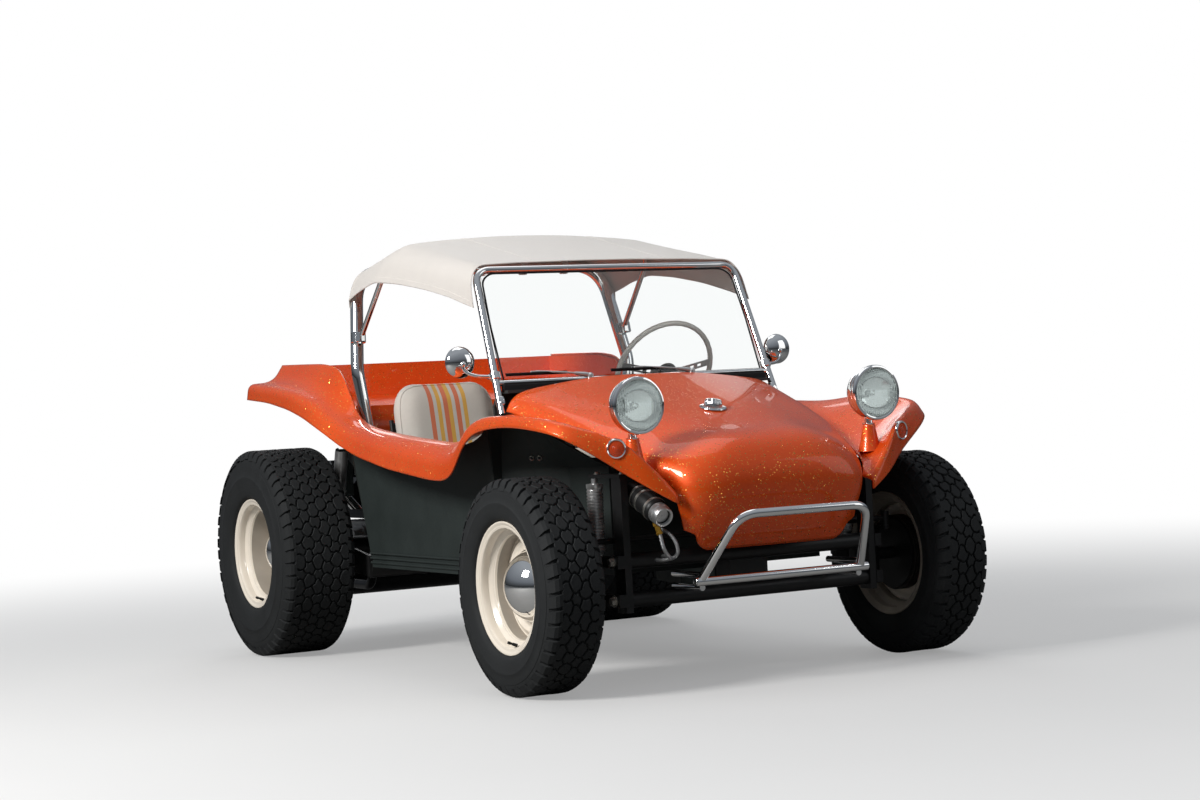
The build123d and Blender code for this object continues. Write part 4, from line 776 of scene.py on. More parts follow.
# Mirrors: round spun shells, chromed, with a flat silvered face. Each stands on a bent arm with a ball at
# its end, and the arm is held in a clamp on the pillar.
mirrors, faces_of_mirrors = Heap(), Heap()
for side in (1, -1):
    centre = spot(side * 627, 591, 1053)
    back, front = centre + Vector((0, -0.016, 0)), centre + Vector((0, 0.013, 0))
    mirrors.turned(back, front, [(0, 0.006), (0.02, 0.016), (0.10, 0.028), (0.25, 0.039), (0.45, 0.047),
                                 (0.7, 0.052), (0.88, 0.0535), (0.97, 0.0535), (1, 0.051)], sides=48)
    faces_of_mirrors.turned(front - Vector((0, 0.001, 0)), front + Vector((0, 0.0012, 0)),
                            [(0, 0.049), (1, 0.048)], sides=48)
    mirrors.pipe(rounded([spot(side * 540, 533, 1000), spot(side * 590, 552, 1003),
                          spot(side * 624, 576, 1020), spot(side * 627, 578, 1044)], 0.02), 0.0058,
                 sides=14)
    ball = spot(side * 627, 577, 1046)
    mirrors.turned(ball - Vector((0, 0, 0.010)), ball + Vector((0, 0, 0.010)),
                   [(0.5 - 0.5 * cos(a), 0.010 * sin(a) + 0.0003) for a in np.linspace(0, pi, 9)], sides=16)
    clamp_low, clamp_high = spot(side * 533, 528, 987), spot(side * 532, 539, 1013)
    mirrors.turned(clamp_low, clamp_high, [(0, 0.0165), (0.08, 0.0185), (0.92, 0.0185), (1, 0.0165)],
                   sides=24)
    mirrors.bolt(spot(side * 552, 540, 1000), (side, 0, 0), radius=0.006)
mirrors.make("mirror_shells", chrome, "chrome", stands_for=("mirrors",))
mirror_face = finish("mirror silvering", (0.93, 0.94, 0.94), rough=0.025, metal=1.0, mottle=0.01, patch=5)
faces_of_mirrors.make("mirror_faces", mirror_face, "chrome")

# Headlights: chromed shells on short stalks at the tops of the lamp posts. Each holds a polished bowl
# with its bulb behind a fluted glass in a rolled ring.
lamp_glass, tree, shader, place = new_material("fluted glass")
flutes = add_node(tree, "TexWave", {"Scale": 42, "Distortion": 0.6, "Detail": 1, "Vector": place})
ridges = add_node(tree, "Bump", {"Strength": 0.35, "Distance": 0.001, "Height": flutes.outputs["Fac"]})
feed(shader, {"Base Color": (0.86, 0.91, 0.90, 1), "Transmission Weight": 1.0, "IOR": 1.4, "Roughness": 0.04,
              "Normal": ridges.outputs["Normal"]})
bowl_silver = finish("polished bowl", (0.66, 0.67, 0.67), rough=0.10, metal=1.0, mottle=0.04, patch=20)
buckets, bowls, lenses = Heap(), Heap(), Heap()
LAMP = (442, -262, 879)
LAMP_SIDES = 72


def rings_about(centre, section):
    """Rings of points about a line through the centre, from (millimetres behind it, radius in metres)."""
    turns = [tau * i / LAMP_SIDES for i in range(LAMP_SIDES)]
    return [centre + Vector((r * cos(a), y / 1000, r * sin(a))) for y, r in section for a in turns]


for side in (1, -1):
    centre = spot(side * LAMP[0], *LAMP[1:])
    outline = [(-5, 0.0795), (-6.5, 0.083), (-5, 0.0875), (0, 0.0897), (7, 0.0900), (11, 0.0890),
               (12, 0.0865), (14, 0.0860), (16, 0.0872), (26, 0.0868), (40, 0.083), (55, 0.0765),
               (70, 0.066), (82, 0.054), (92, 0.040), (100, 0.022), (104, 0.008)]
    inner_wall = [(98, 0.0078), (90, 0.036), (70, 0.060), (40, 0.076), (12, 0.080)]
    section = outline + inner_wall
    buckets.add(rings_about(centre, section), joined_rings(len(section), LAMP_SIDES, loop=True))
    buckets.turned(spot(side * 441, -212, 776), spot(side * 441, -212, 806),
                   [(0, 0.020), (0.15, 0.021), (0.2, 0.014), (0.75, 0.013), (0.8, 0.019), (1, 0.018)],
                   sides=32)
    bowl = [(8, 0.0785), (16, 0.074), (30, 0.065), (44, 0.052), (54, 0.038), (60, 0.022), (62, 0.010),
            (62, 0.0)]
    bowls.add(rings_about(centre, bowl), joined_rings(len(bowl), LAMP_SIDES))
    bowls.turned(centre + Vector((0, 0.062, 0)), centre + Vector((0, 0.020, 0)),
                 [(0, 0.014), (0.3, 0.014), (0.35, 0.009), (0.9, 0.009), (1, 0.004)], sides=20)
    bulge = [(0.28 + 0.72 * sin(a), 0.0795 * cos(a)) for a in np.linspace(0, 1.52, 12)]
    lenses.turned(centre + Vector((0, 0.005, 0)), centre - Vector((0, 0.013, 0)), [(0, 0.0790)] + bulge,
                  sides=LAMP_SIDES)
buckets.make("headlight_shells", chrome, "chrome", stands_for=("headlights",))
bowls.make("headlight_bowls", bowl_silver, "chrome")
lenses.make("headlight_glasses", lamp_glass, "clear_glass", stands_for=("headlight_lenses",))


# Marker and tail lights: stepped lenses of coloured plastic in chromed bezels. The markers sit on the
# front fenders, and the tail lights on black rubber seats on the tail wall.
def lens_plastic(name, colour, glow):
    """Coloured ribbed plastic that lets some light through."""
    made = finish(name, colour, rough=0.12, mottle=0.15, patch=60, coat=0.6)
    feed(made.node_tree.nodes["Principled BSDF"],
         {"Transmission Weight": 0.35, "Emission Color": (*glow, 1), "Emission Strength": 0.04})
    return made


amber = lens_plastic("amber-red lens", (0.62, 0.060, 0.012), (0.9, 0.2, 0.02))
red = lens_plastic("red lens", (0.50, 0.010, 0.010), (0.8, 0.02, 0.02))
bezels, markers, tails, seats_black = Heap(), Heap(), Heap(), Heap()
for side in (1, -1):
    centre = spot(side * 529, -262, 752)
    out = Vector((side * 0.37, -0.93, -0.02)).normalized()
    bezels.turned(centre - out * 0.004, centre + out * 0.010,
                  [(0, 0.0318), (0.4, 0.0320), (0.8, 0.0312), (1, 0.0290), (0.85, 0.0255), (0.3, 0.0250)],
                  sides=48)
    domes = [(0, 0.0250), (0.25, 0.0250), (0.32, 0.0238), (0.5, 0.0225), (0.52, 0.0180), (0.68, 0.0170),
             (0.70, 0.0125), (0.82, 0.0115), (0.84, 0.0070), (0.95, 0.0060), (1, 0.0015)]
    markers.turned(centre - out * 0.002, centre + out * 0.015, domes, sides=48)
    rear_centre, rear_out = spot(side * 480, 2292, 985), Vector((0, 1, 0))
    seats_black.turned(rear_centre, rear_centre + rear_out * 0.012, [(0, 0.042), (1, 0.042)], sides=48)
    bezels.turned(rear_centre + rear_out * 0.010, rear_centre + rear_out * 0.024,
                  [(0, 0.0420), (0.6, 0.0415), (1, 0.038), (0.8, 0.034), (0.2, 0.033)], sides=48)
    tails.turned(rear_centre + rear_out * 0.010, rear_centre + rear_out * 0.034,
                 [(0, 0.0335), (0.3, 0.0335), (0.36, 0.031), (0.55, 0.029), (0.57, 0.023), (0.75, 0.021),
                  (0.77, 0.014), (0.92, 0.012), (1, 0.002)], sides=48)
bezels.make("lamp_bezels", chrome, "chrome")
markers.make("marker_lenses", amber, "amber_lens", stands_for=("marker_lights",))
tails.make("tail_lenses", red, "red_lens", stands_for=("tail_lights",))
seats_black.make("tail_light_seats", rubber, "black_steel")

# Fuel filler: a turned flange let into the hood, with a screwed cap whose edge is notched for the hand.
# Both are chromed.
filler = Heap()
slope = Vector((0, -0.256, 1)).normalized()
seat_point = spot(0, 30, 857)
filler.turned(seat_point - slope * 0.020, seat_point + slope * 0.0065,
              [(0, 0.029), (0.80, 0.029), (0.81, 0.043), (0.86, 0.045), (0.95, 0.044), (1, 0.040)], sides=48)
ring_points = []
NOTCHED, NOTCH_EVERY = 96, 4
across = slope.cross(Vector((1, 0, 0))).normalized()
# height, radius and depth of the notches
levels = ((0.006, 0.0310, 0.0), (0.010, 0.0310, 0.0016), (0.024, 0.0280, 0.0016), (0.0275, 0.0255, 0.0),
          (0.0285, 0.0200, 0.0), (0.0285, 0.0120, 0.0), (0.0310, 0.0110, 0.0), (0.0315, 0.0060, 0.0))
for height, radius, notch in levels:
    for i in range(NOTCHED):
        a = tau * i / NOTCHED
        r = radius - (notch if i % NOTCH_EVERY == 0 else 0)
        ring_points.append(seat_point + slope * height + Vector((1, 0, 0)) * r * cos(a) + across * r * sin(a))
filler.add(ring_points, joined_rings(len(levels), NOTCHED) + end_caps(len(levels), NOTCHED)[1:])
filler.make("filler_cap", chrome, "chrome", stands_for=("fuel_filler",))

# Seats: a bent steel shell each, with a stuffed back and a stuffed squab in off-white canvas. A band of
# orange and mustard stripes is woven into the middle, and a piped seam runs round each pad.
SEAT_X = 340
ORANGE_DYE, MUSTARD_DYE = (0.62, 0.16, 0.07, 1), (0.66, 0.36, 0.06, 1)
# from and to, in millimetres from the middle of the seat, and the dye
STRIPES = ((-84, -66, ORANGE_DYE), (-52, -36, MUSTARD_DYE), (-26, -8, ORANGE_DYE), (-8, 8, MUSTARD_DYE),
           (22, 40, ORANGE_DYE), (52, 68, MUSTARD_DYE))


def weave(cloth, scale, gap, depth, fuzz):
    """Gives a cloth its crossing threads, raised by a bump, and the soft sheen of its fibres."""
    tree = cloth.node_tree
    place = add_node(tree, "TexCoord", {}).outputs["Object"]
    threads = add_node(tree, "TexBrick", {"Scale": scale, "Mortar Size": gap, "Vector": place})
    raised = add_node(tree, "Bump", {"Strength": depth, "Distance": 0.0006, "Height": threads.outputs["Fac"]})
    feed(tree.nodes["Principled BSDF"], {"Sheen Weight": fuzz, "Normal": raised.outputs["Normal"]})


canvas_cloth = {}
for side, hand in ((1, "left"), (-1, "right")):
    cloth = finish(f"striped canvas {hand}", (0.56, 0.52, 0.46), rough=0.85, mottle=0.05, patch=70)
    weave(cloth, 260, 0.05, 0.3, 0.25)
    tree = cloth.node_tree
    shader = tree.nodes["Principled BSDF"]
    place = add_node(tree, "TexCoord", {}).outputs["Object"]
    across = add_node(tree, "SeparateXYZ", {"Vector": place}).outputs["X"]
    plain = shader.inputs["Base Color"].links[0].from_socket
    for start, stop, dye in STRIPES:
        past = add_node(tree, "Math", {0: across, 1: (side * SEAT_X + start) / 1000},
                        operation="GREATER_THAN")
        short = add_node(tree, "Math", {0: across, 1: (side * SEAT_X + stop) / 1000}, operation="LESS_THAN")
        both = add_node(tree, "Math", {0: past.outputs[0], 1: short.outputs[0]}, operation="MULTIPLY")
        dyed = add_node(tree, "Mix", {"A": plain, "B": dye, "Factor": both.outputs[0]}, data_type="RGBA")
        plain = dyed.outputs["Result"]
    feed(shader, {"Base Color": plain})
    canvas_cloth[hand] = cloth


# frames for which the filling settles, and the most by which it moves the cloth, in metres
SETTLE_FRAMES, MOST_PUFF = 20, 0.007


def stuffed(name, material, middle, up, out, size, round_by):
    """A stuffed pad: a rounded block sewn to size, blown out by its filling and settled as cloth."""
    cuts = (26, 26, 8)
    half = [s / 2 for s in size]
    points, index, faces = [], {}, []

    def corner(i, j, k):
        """The number of the point at those three steps of the block, made when it is first asked for."""
        key = (i, j, k)
        if key not in index:
            raw = [(2 * a / n - 1) * h for a, n, h in zip(key, cuts, half)]
            core = [max(-(h - r), min(h - r, v)) for v, h, r in zip(raw, half, round_by)]
            gap = Vector([(v - c) / r for v, c, r in zip(raw, core, round_by)])
            if gap.length > 1:
                gap.normalize()
            p = [c + g * r for c, g, r in zip(core, gap, round_by)]
            index[key] = len(points)
            points.append(middle + Vector((p[0], 0, 0)) + up * p[1] + out * p[2])
        return index[key]

    for fixed in range(3):
        one, two = [n for n in range(3) if n != fixed]
        for end in (0, cuts[fixed]):
            for a in range(cuts[one]):
                for b in range(cuts[two]):
                    square = []
                    for da, db in ((0, 0), (1, 0), (1, 1), (0, 1)):
                        key = [0, 0, 0]
                        key[fixed], key[one], key[two] = end, a + da, b + db
                        square.append(corner(*key))
                    faces.append(tuple(square))
    obj = piece(name, points, faces, material)
    before = [v.co.copy() for v in obj.data.vertices]
    filled = obj.modifiers.new("filling", "CLOTH")
    filled.settings.use_pressure = True
    filled.settings.uniform_pressure_force = 4.0
    filled.settings.effector_weights.gravity = 0
    filled.settings.quality = 6
    filled.settings.mass = 0.25
    for frame_number in range(1, SETTLE_FRAMES + 1):
        bpy.context.scene.frame_set(frame_number)
    settled = obj.evaluated_get(bpy.context.evaluated_depsgraph_get()).to_mesh()
    shape = [v.co.copy() for v in settled.vertices]
    obj.modifiers.remove(filled)
    for v, old, new in zip(obj.data.vertices, before, shape):
        moved = new - old
        v.co = old + moved.normalized() * min(moved.length, MOST_PUFF)
    bpy.context.scene.frame_set(1)
    softer = obj.modifiers.new("softer", "SUBSURF")
    softer.levels = softer.render_levels = 1
    return obj


BACK_SIZE, BACK_ROUND = (0.405, 0.515, 0.105), (0.085, 0.110, 0.048)
SQUAB_SIZE, SQUAB_ROUND = (0.405, 0.41, 0.125), (0.070, 0.075, 0.055)
SEAM_STEPS, SQUARENESS = 120, 0.35
SHELL_PLATE = ((-180, 1352, 500), (180, 1352, 500), (180, 1432, 860), (-180, 1432, 860))
for side, hand in ((1, "left"), (-1, "right")):
    back_foot, back_top = spot(side * SEAT_X, 1285, 500), spot(side * SEAT_X, 1385, 1000)
    up = (back_top - back_foot).normalized()
    out = Vector((1, 0, 0)).cross(up)
    out = out if out.y < 0 else -out
    back_middle, squab_middle = (back_foot + back_top) / 2, spot(side * SEAT_X, 1062, 478)
    squab_up = Vector((0, 0.07, 1)).normalized()
    squab_way = Vector((0, -1, 0.07)).normalized()
    back = stuffed(f"seat_back_{hand}", canvas_cloth[hand], back_middle, up, out, BACK_SIZE, BACK_ROUND)
    squab = stuffed(f"seat_squab_{hand}", canvas_cloth[hand], squab_middle, squab_way, squab_up, SQUAB_SIZE,
                    SQUAB_ROUND)
    piping = Heap()
    for pad, centre, up_way, face_way, size in ((back, back_middle, up, out, BACK_SIZE),
                                                (squab, squab_middle, squab_way, squab_up, SQUAB_SIZE)):
        pad_tree = BVHTree.FromObject(pad, bpy.context.evaluated_depsgraph_get())
        seam = []
        for n in range(SEAM_STEPS + 1):
            a = tau * n / SEAM_STEPS
            x = (size[0] / 2 - 0.014) * abs(cos(a)) ** SQUARENESS * (1 if cos(a) > 0 else -1)
            y = (size[1] / 2 - 0.016) * abs(sin(a)) ** SQUARENESS * (1 if sin(a) > 0 else -1)
            start = centre + Vector((x, 0, 0)) + up_way * y + face_way * 0.2
            hit = pad_tree.ray_cast(start, -face_way, 0.2)[0]
            if hit is not None:
                seam.append(hit)
        if len(seam) > 100:
            piping.pipe(stepped([tuple(p) for p in seam], 0.006), 0.0032, sides=8)
    piping.make(f"seat_piping_{hand}", canvas_cloth[hand], "striped_canvas")
    shell = Heap()
    rail = [spot(side * SEAT_X, 880, 412), spot(side * SEAT_X, 1345, 400), spot(side * SEAT_X, 1445, 870)]
    for offset in (-0.176, 0.176):
        shell.pipe(rounded([p + Vector((offset, 0, 0)) for p in rail], 0.07), 0.0085, sides=14)
    plate(shell, [spot(side * SEAT_X + x, s, z) for x, s, z in SHELL_PLATE], Vector((0, 0.005, -0.001)))
    shell.box(spot(side * SEAT_X, 1110, 404), (0.385, 0.45, 0.008))
    for offset in (-0.15, 0.15):
        shell.box(spot(side * SEAT_X + offset * 1000, 1120, 380), (0.030, 0.36, 0.044))
    shell.make(f"seat_shell_{hand}", black_steel, "black_steel", stands_for=(f"seat_{hand}",))

# Steering wheel: a rim moulded in pale grey plastic with grips for the fingers, on three drilled spokes
# of silver steel. They run to a black hub, which is fixed on the shaft of the column.
grey_rim = finish("pale grey plastic", (0.60, 0.58, 0.54), rough=0.3, mottle=0.06, patch=25, coat=0.3)
WHEEL_CENTRE = spot(330, 900, 995)
up_column = Vector((0, cos(radians(28)), sin(radians(28))))
wheel_x, wheel_y = Vector((1, 0, 0)), up_column.cross(Vector((1, 0, 0))) * -1
RIM_R, GRIP_R, GRIP_DIP, GRIPS = 0.192, 0.0098, 0.0012, 36
ROUND, THICK = 144, 16
rim_points = []
for i in range(ROUND):
    a = tau * i / ROUND
    out = wheel_x * cos(a) + wheel_y * sin(a)
    for k in range(THICK):
        b = tau * k / THICK
        r = GRIP_R - GRIP_DIP * (0.5 + 0.5 * cos(GRIPS * a)) * (0.5 - 0.5 * sin(b))
        rim_points.append(WHEEL_CENTRE + out * (RIM_R + r * cos(b)) + up_column * r * sin(b))
piece("steering_rim", rim_points, joined_rings(ROUND, THICK, loop=True), grey_rim,
      "steering_wheel", stands_for=("steering_wheel",))
hub = Heap()
hub.turned(WHEEL_CENTRE - up_column * 0.036, WHEEL_CENTRE - up_column * 0.006,
           [(0, 0.030), (0.2, 0.040), (0.6, 0.042), (0.85, 0.038), (0.95, 0.030), (1, 0.012)], sides=48)
hub.rod(WHEEL_CENTRE - up_column * 0.33, WHEEL_CENTRE - up_column * 0.03, 0.0098, sides=20)
hub.make("steering_hub", black_steel, "grey_plastic", "steering_wheel")
spokes = Heap()
# the places of the holes and half their length as shares of a spoke, and half its width in metres
HOLES, HOLE_HALF, SPOKE_HALF = (0.30, 0.50, 0.70), 0.055, 0.0125
for angle in (10, 170, 270):
    a = radians(angle)
    out = wheel_x * cos(a) + wheel_y * sin(a)
    cross_way = up_column.cross(out)
    foot, tip = WHEEL_CENTRE + out * 0.030 - up_column * 0.022, WHEEL_CENTRE + out * 0.188 - up_column * 0.004
    way = tip - foot
    edges = [0.0]
    for share in HOLES:
        edges += [share - HOLE_HALF, share + HOLE_HALF]
    edges.append(1.0)
    face_up = cross_way.cross(way).normalized()
    for n, (a0, a1) in enumerate(zip(edges, edges[1:])):
        strips = ((-1, 1),) if n % 2 == 0 else ((-1, -0.45), (0.45, 1))
        for lo, hi in strips:
            corners = []
            for t, w in ((a0, lo), (a1, lo), (a1, hi), (a0, hi)):
                corners.append(foot + way * t + cross_way * SPOKE_HALF * w)
            points = [p - face_up * 0.0018 for p in corners] + [p + face_up * 0.0018 for p in corners]
            spokes.add(points, end_caps(2, 4) + joined_rings(2, 4))
spokes.make("steering_spokes", silver, "grey_plastic", "steering_wheel", smooth=False)

# Roll bar and canopy bow: chromed tube. The roll bar stands on plates bolted to the floor; the thin bow
# swings on clamps half way up it.
ROLL_PATH = [(499, 1538, 369), (575, 1597, 1060), (518, 1690, 1437)]
roll = Heap()
roll.pipe(rounded(both_halves(ROLL_PATH), [0.03, 0.125, 0.125, 0.03], steps=16), 0.024, sides=32)
for side in (1, -1):
    roll.box(spot(side * 499, 1530, 363), (0.056, 0.076, 0.012))
    for station in (1503, 1557):
        roll.bolt(spot(side * 499, station, 369), (0, 0, 1), radius=0.006)
    roll.turned(spot(side * 565, 1595, 1163), spot(side * 562, 1600, 1203),
                [(0, 0.0255), (0.05, 0.0275), (0.95, 0.0275), (1, 0.0255)], sides=32)
roll.make("roll_hoop", chrome, "chrome", stands_for=("roll_bar",))
BOW_PATH = [(558, 1584, 1183), (543, 1340, 1440), (455, 1306, 1494), (0, 1290, 1515)]
bow = Heap()
bow.pipe(rounded(both_halves(BOW_PATH), [0.05, 0.05, 0.30, 0.05, 0.05], steps=12), 0.010, sides=20)
for side in (1, -1):
    joint = spot(side * 558, 1580, 1185)
    bow.box(joint, (0.012, 0.030, 0.034))
    bow.bolt(joint + Vector((side * 0.007, 0, 0)), (side, 0, 0), radius=0.0065)
bow.make("canopy_bow", chrome, "chrome", stands_for=("top_bow",))

# Canopy: one piece of off-white canvas, stretched tight over the windshield hoop, the bow and the roll
# bar. Its hems are turned twice and stitched; it dips a little between the tubes and pulls into soft
# folds at the corners.
canvas_white = finish("off-white canvas", (0.68, 0.63, 0.575), rough=0.82, mottle=0.04, patch=18)
weave(canvas_white, 240, 0.06, 0.35, 0.3)
# station at the side edge and on top, half width and z of the side edge, x and z of the shoulder, z in
# the middle
CANOPY = (
    (640, 690, 547, 1236, 500, 1384, 1393),
    (790, 810, 552, 1278, 494, 1409, 1421),
    (990, 960, 560, 1320, 487, 1440, 1457),
    (1200, 1140, 567, 1354, 478, 1477, 1499),
    (1393, 1290, 576, 1375, 474, 1509, 1534),
    (1530, 1503, 572, 1356, 450, 1485, 1506),
    (1655, 1716, 568, 1325, 430, 1462, 1478),
)
ACROSS, ALONG = 121, 110
# shares of the length in front of and behind the bow; dip between the tubes and height of the folds in
# millimetres
BOW_AT, BEHIND_BOW, SAG, FOLD = 0.58, 0.42, 3.0, 3.2
CLOTH_THICK = 0.0016
sections = []
for edge_station, top_station, half, edge_z, shoulder_x, shoulder_z, middle_z in CANOPY:
    bulge = (half * 0.6 + shoulder_x * 0.4 + 8, edge_z * 0.35 + shoulder_z * 0.65)
    side_line = curve_through([(half, edge_z), bulge, (shoulder_x, shoulder_z)], between=8)
    top_x = [shoulder_x * cos(a) for a in np.linspace(0, pi / 2, 14)]
    top_line = [(x, shoulder_z + (middle_z - shoulder_z) * (1 - (x / shoulder_x) ** 2)) for x in top_x]
    chain = stepped(side_line + top_line[1:], ACROSS // 2 + 1)
    share = (chain[:, 1] - edge_z) / (middle_z - edge_z)
    stations = edge_station + (top_station - edge_station) * share
    one = np.stack([chain[:, 0], stations, chain[:, 1]], axis=1)
    sections.append(np.concatenate([one, one[-2::-1] * np.array((-1, 1, 1))]))
grid = evened(evened(respaced(np.array(sections), ALONG), 0, 3.0), 1, 1.6)
for r in range(ALONG):
    for c in range(ACROSS):
        u, v = r / (ALONG - 1), abs(2 * c / (ACROSS - 1) - 1)
        between_tubes = sin(pi * u / BOW_AT) if u < BOW_AT else sin(pi * (u - BOW_AT) / BEHIND_BOW)
        sag = SAG * between_tubes * (1 - v ** 2)
        corner_pull = max(0, v - 0.45) * (max(0, 0.30 - u) * 3 + max(0, u - 0.75) * 3)
        fold = corner_pull * FOLD * sin(26 * (u - 0.35 * v) + (2.1 if c > ACROSS / 2 else 0.4))
        fold += 0.5 * sin(9 * u + 14 * v) * sin(5 * v + 3)
        grid[r, c, 2] -= sag + fold + 0.8
cloth_grid = in_frame(grid)
top_sheet = skin("canopy_sheet", cloth_grid, CLOTH_THICK, canvas_white, ("canopy",))
hem = Heap()


def ribbon(heap, line, width_way, lift):
    """A folded strip of the cloth along a line of points on it."""
    points = []
    for p, w, n in zip(line, width_way, lift):
        p, w, n = Vector(p), Vector(w), Vector(n)
        points += [p - w + n * 0.2, p - w * 0.9 + n, p + w * 0.9 + n, p + w + n * 0.2, p + w - n, p - w - n]
    heap.add(points, joined_rings(len(line), 6) + end_caps(len(line), 6))


def inwards(line, inner, reach):
    """From each point of a line of the cloth towards the line beside it, for so many metres."""
    toward = inner - line
    return toward / np.linalg.norm(toward, axis=1, keepdims=True) * reach


HEM_HALF, HEM_THICK, SEAM_HALF, SEAM_THICK = 0.010, 0.0016, 0.006, 0.0010
outward = np.cross(np.gradient(cloth_grid, axis=1), np.gradient(cloth_grid, axis=0))
outward /= np.linalg.norm(outward, axis=2, keepdims=True)
outward *= np.sign(outward[..., 2].mean())
for c, inner in ((1, 2), (ACROSS - 2, ACROSS - 3)):
    line = cloth_grid[:, c]
    ribbon(hem, line, inwards(line, cloth_grid[:, inner], HEM_HALF), outward[:, c] * HEM_THICK)
for r, inner in ((1, 2), (ALONG - 2, ALONG - 3)):
    ribbon(hem, cloth_grid[r], inwards(cloth_grid[r], cloth_grid[inner], HEM_HALF), outward[r] * HEM_THICK)
for share in (0.30, 0.70):
    c = int(share * (ACROSS - 1))
    line = cloth_grid[:, c]
    ribbon(hem, line, inwards(line, cloth_grid[:, c + 1], SEAM_HALF), outward[:, c] * SEAM_THICK)
# the rear edge hangs down behind the roll bar and is tied to it by five straps
fall = cloth_grid[ALONG - 1]
ribbon(hem, fall + np.array((0, 0.002, -0.014)), np.tile((0, 0, 0.015), (ACROSS, 1)),
       np.tile((0, 0.0012, 0), (ACROSS, 1)))
canopy_hems = hem.make("canopy_hems", canvas_white, "white_canvas")
straps = Heap()
for x in (-360, -180, 0, 180, 360):
    straps.turned(spot(x - 14, 1690, 1437), spot(x + 14, 1690, 1437),
                  [(0, 0.0243), (0.06, 0.0262), (0.94, 0.0262), (1, 0.0243)], sides=32)
    straps.box(spot(x, 1690, 1409), (0.026, 0.020, 0.006))
straps.make("canopy_straps", canvas_white, "white_canvas")

# Bumpers: chromed bent tube in front and behind, a hoop and a straight tube each. They are welded to arms
# from the front axle and from the gearbox, and the straight tubes have turned plugs in their ends.
BUMPER_TUBE, PLUG = 0.014, [(0, 0.014), (0.6, 0.011), (1, 0.004)]
bumpers = Heap()
front_hoop = both_halves(((-296, -333, 336), (-233, -478, 535)))
bumpers.pipe(rounded(front_hoop, 0.06, steps=14), BUMPER_TUBE, sides=24)
bumpers.pipe(both_halves(((-318, -335, 331), (0, -335, 331))), BUMPER_TUBE, sides=24)
for side in (1, -1):
    bumpers.turned(spot(side * 314, -335, 331), spot(side * 321, -335, 331), PLUG, sides=24)
    for z in (312, 350):
        bumpers.pipe([spot(side * 290, station, z) for station in (-330, -245, -160)], 0.010, sides=18)
bumpers.make("front_bumper_tubes", chrome, "chrome", stands_for=("front_bumper",))
rear_tubes = Heap()
rear_hoop = both_halves(((-330, 2612, 420), (-300, 2640, 640)))
rear_tubes.pipe(rounded(rear_hoop, 0.075, steps=14), BUMPER_TUBE, sides=24)
rear_tubes.pipe(both_halves(((-400, 2612, 410), (0, 2612, 410))), BUMPER_TUBE, sides=24)
for side in (1, -1):
    rear_tubes.turned(spot(side * 396, 2612, 410), spot(side * 403, 2612, 410), PLUG, sides=24)
    rear_arm = [spot(side * 150, station, z) for station, z in ((2612, 405), (2590, 300), (2162, 300))]
    rear_tubes.pipe(rounded(rear_arm, 0.045), 0.012, sides=18)
rear_tubes.make("rear_bumper_tubes", chrome, "chrome", stands_for=("rear_bumper",))

# Canister beside the right front fender: a black drawn can in bright clamp bands, with a silver nozzle
# ring, a yellow fitting and braided hoses below it.
can, bands, nozzle = Heap(), Heap(), Heap()
can_back, can_front = spot(-395, -112, 617), spot(-395, -300, 533)
can_way = can_front - can_back
can.turned(can_back, can_front, [(0, 0.028), (0.03, 0.036), (0.10, 0.038), (0.74, 0.038), (0.78, 0.035),
                                 (0.80, 0.030), (0.94, 0.030), (0.95, 0.022), (0.90, 0.021),
                                 (0.90, 0.001)], sides=40)
for share in (0.22, 0.38, 0.66):
    start = can_back + can_way * share
    bands.turned(start, start + can_way * 0.05, [(0, 0.0382), (0.1, 0.0395), (0.9, 0.0395), (1, 0.0382)],
                 sides=40)
nozzle.turned(can_back + can_way * 0.77, can_back + can_way * 1.0,
              [(0, 0.0300), (0.15, 0.0335), (0.5, 0.0335), (0.55, 0.0315), (0.95, 0.0315), (1, 0.0300),
               (0.98, 0.0245), (0.70, 0.0235)], sides=40)
nozzle.turned(can_back + can_way * 0.90, can_back + can_way * 0.95, [(0, 0.003), (1, 0.002)], sides=10)
can.make("canister_can", black_steel, "black_steel", stands_for=("canister",))
bands.make("canister_bands", zinc, "silver_steel")
nozzle.make("canister_nozzle", silver, "silver_steel")
brass = finish("yellow passivated fitting", (0.60, 0.34, 0.05), rough=0.3, metal=0.8, mottle=0.15, patch=60)
braid = finish("braided steel hose", (0.42, 0.42, 0.42), rough=0.4, metal=0.9, mottle=0.3, patch=300,
               grit=0.8, grit_size=1500)
fitting, braided = Heap(), Heap()
fitting.turned(spot(-392, -240, 520), spot(-384, -250, 480),
               [(0, 0.010), (0.3, 0.012), (0.35, 0.009), (0.8, 0.009), (0.85, 0.012), (1, 0.010)],
               sides=6)
fitting.make("yellow_fittings", brass, "silver_steel")
HOSES = (((-384, -250, 482), (-380, -262, 430), (-345, -245, 400), (-330, -190, 412), (-328, -142, 400)),
         ((-366, -215, 500), (-340, -262, 470), (-325, -262, 410), (-350, -205, 395), (-352, -142, 398)))
for route in HOSES:
    braided.pipe(rounded([spot(*p) for p in route], 0.04), 0.0062, sides=12)
braided.make("braided_hoses", braid, "silver_steel")

# The studio: a pale floor that runs out into plain white, a soft sky that is darker towards the horizon
# so that chrome shows its shape, and four soft boxes.
floor_stuff = finish("studio floor", (0.62, 0.61, 0.59), rough=0.8, mottle=0.01, patch=2)
tree = floor_stuff.node_tree
shader = tree.nodes["Principled BSDF"]


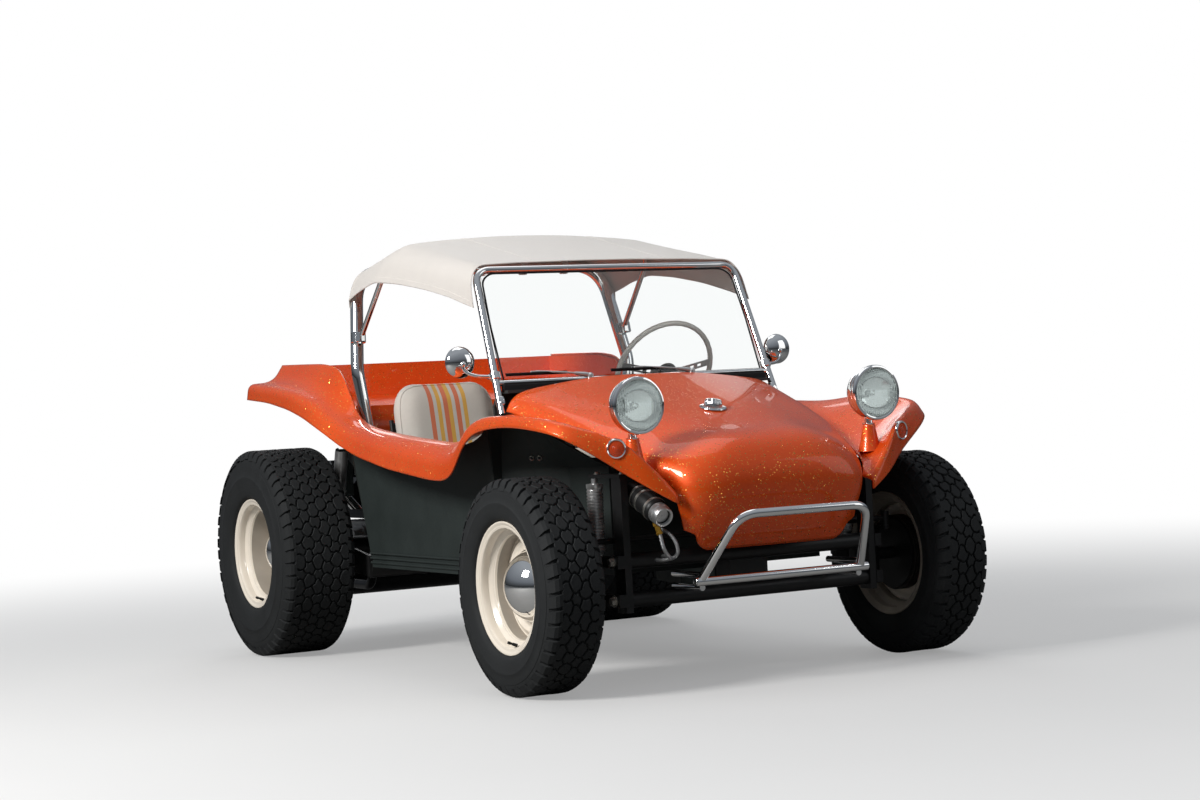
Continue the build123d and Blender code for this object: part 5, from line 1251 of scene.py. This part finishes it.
def seen_directly(tree):
    """One for what is looked at itself or through glass, and nought for what only lights or mirrors."""
    seen = add_node(tree, "LightPath", {})
    direct = add_node(tree, "Math", {0: seen.outputs["Is Camera Ray"],
                                     1: seen.outputs["Is Transmission Ray"]}, operation="MAXIMUM")
    return direct.outputs["Value"]


straight_on = seen_directly(tree)
bounced = add_node(tree, "Mix", {"A": (0.24, 0.235, 0.225, 1),
                                 "B": shader.inputs["Base Color"].links[0].from_socket,
                                 "Factor": straight_on}, data_type="RGBA")
place = add_node(tree, "TexCoord", {}).outputs["Object"]
far = add_node(tree, "VectorMath", {0: place}, operation="LENGTH")
fade = add_node(tree, "MapRange", {"From Min": 1.6, "From Max": 7.5, "To Min": 0.30,
                                   "Value": far.outputs["Value"]}, interpolation_type="SMOOTHSTEP")
shown = add_node(tree, "Math", {0: fade.outputs["Result"], 1: straight_on}, operation="MULTIPLY")
plain_white = add_node(tree, "Emission", {"Color": (1, 1, 1, 1)})
run_out = add_node(tree, "MixShader", {"Fac": shown.outputs["Value"], 1: shader.outputs["BSDF"],
                                       2: plain_white.outputs["Emission"]})
feed(shader, {"Base Color": bounced.outputs["Result"]})
feed(tree.nodes["Material Output"], {"Surface": run_out.outputs["Shader"]})
floor_mesh = bpy.data.meshes.new("studio_floor")
floor_mesh.from_pydata([(-60, -60, 0), (60, -60, 0), (60, 60, 0), (-60, 60, 0)], [], [(0, 1, 2, 3)])
floor_mesh.materials.append(floor_stuff)
studio_floor = bpy.data.objects.new("studio_floor", floor_mesh)
bpy.context.scene.collection.objects.link(studio_floor)
world = bpy.data.worlds.new("studio")
bpy.context.scene.world = world
world.use_nodes = True
sky = world.node_tree
backdrop = sky.nodes["Background"]
upward = add_node(sky, "SeparateXYZ", {"Vector": add_node(sky, "TexCoord", {}).outputs["Generated"]})
shade = add_node(sky, "ValToRGB", {"Fac": upward.outputs["Z"]})
tones = shade.color_ramp.elements
tones[0].position, tones[0].color = 0.02, (0.06, 0.065, 0.07, 1)
tones[1].position, tones[1].color = 0.75, (0.62, 0.67, 0.74, 1)
tones.new(0.22).color = (0.30, 0.33, 0.38, 1)
feed(backdrop, {"Color": shade.outputs["Color"], "Strength": 0.5})
white = add_node(sky, "Background", {"Color": (1, 1, 1, 1)})
choose = add_node(sky, "MixShader", {"Fac": seen_directly(sky), 1: backdrop.outputs["Background"],
                                     2: white.outputs["Background"]})
feed(sky.nodes["World Output"], {"Surface": choose.outputs["Shader"]})
# place, size and watts of each soft box, all turned to the middle of the car
for name, place, size, watts in (("key", (-5.8, -1.6, 4.0), 1.8, 420), ("fill", (4.6, -4.6, 2.6), 3.0, 30),
                                 ("top", (0.3, 0.4, 5.2), 3.4, 40), ("back", (2.4, 5.2, 3.4), 2.6, 50)):
    lamp = bpy.data.lights.new(name, "AREA")
    lamp.shape = "SQUARE"
    lamp.size = size
    lamp.energy = watts
    held = bpy.data.objects.new(name, lamp)
    held.location = place
    held.rotation_euler = (Vector((0, 0, 0.7)) - Vector(place)).to_track_quat("-Z", "Y").to_euler()
    bpy.context.scene.collection.objects.link(held)

# The camera: it stands where the photo was taken from, with the same direction and lens. The picture is shown
# without any film look.
eye = bpy.data.cameras.new("camera")
eye.lens, eye.sensor_width = 72.32, 36
eye.clip_end = 200
camera = bpy.data.objects.new("camera", eye)
camera.location = (-4.0798, -7.7482, 0.8952)
camera.rotation_euler = (1.571798, 0.0540, -0.500546)
bpy.context.scene.collection.objects.link(camera)
bpy.context.scene.camera = camera
bpy.context.scene.view_settings.view_transform = "Standard"
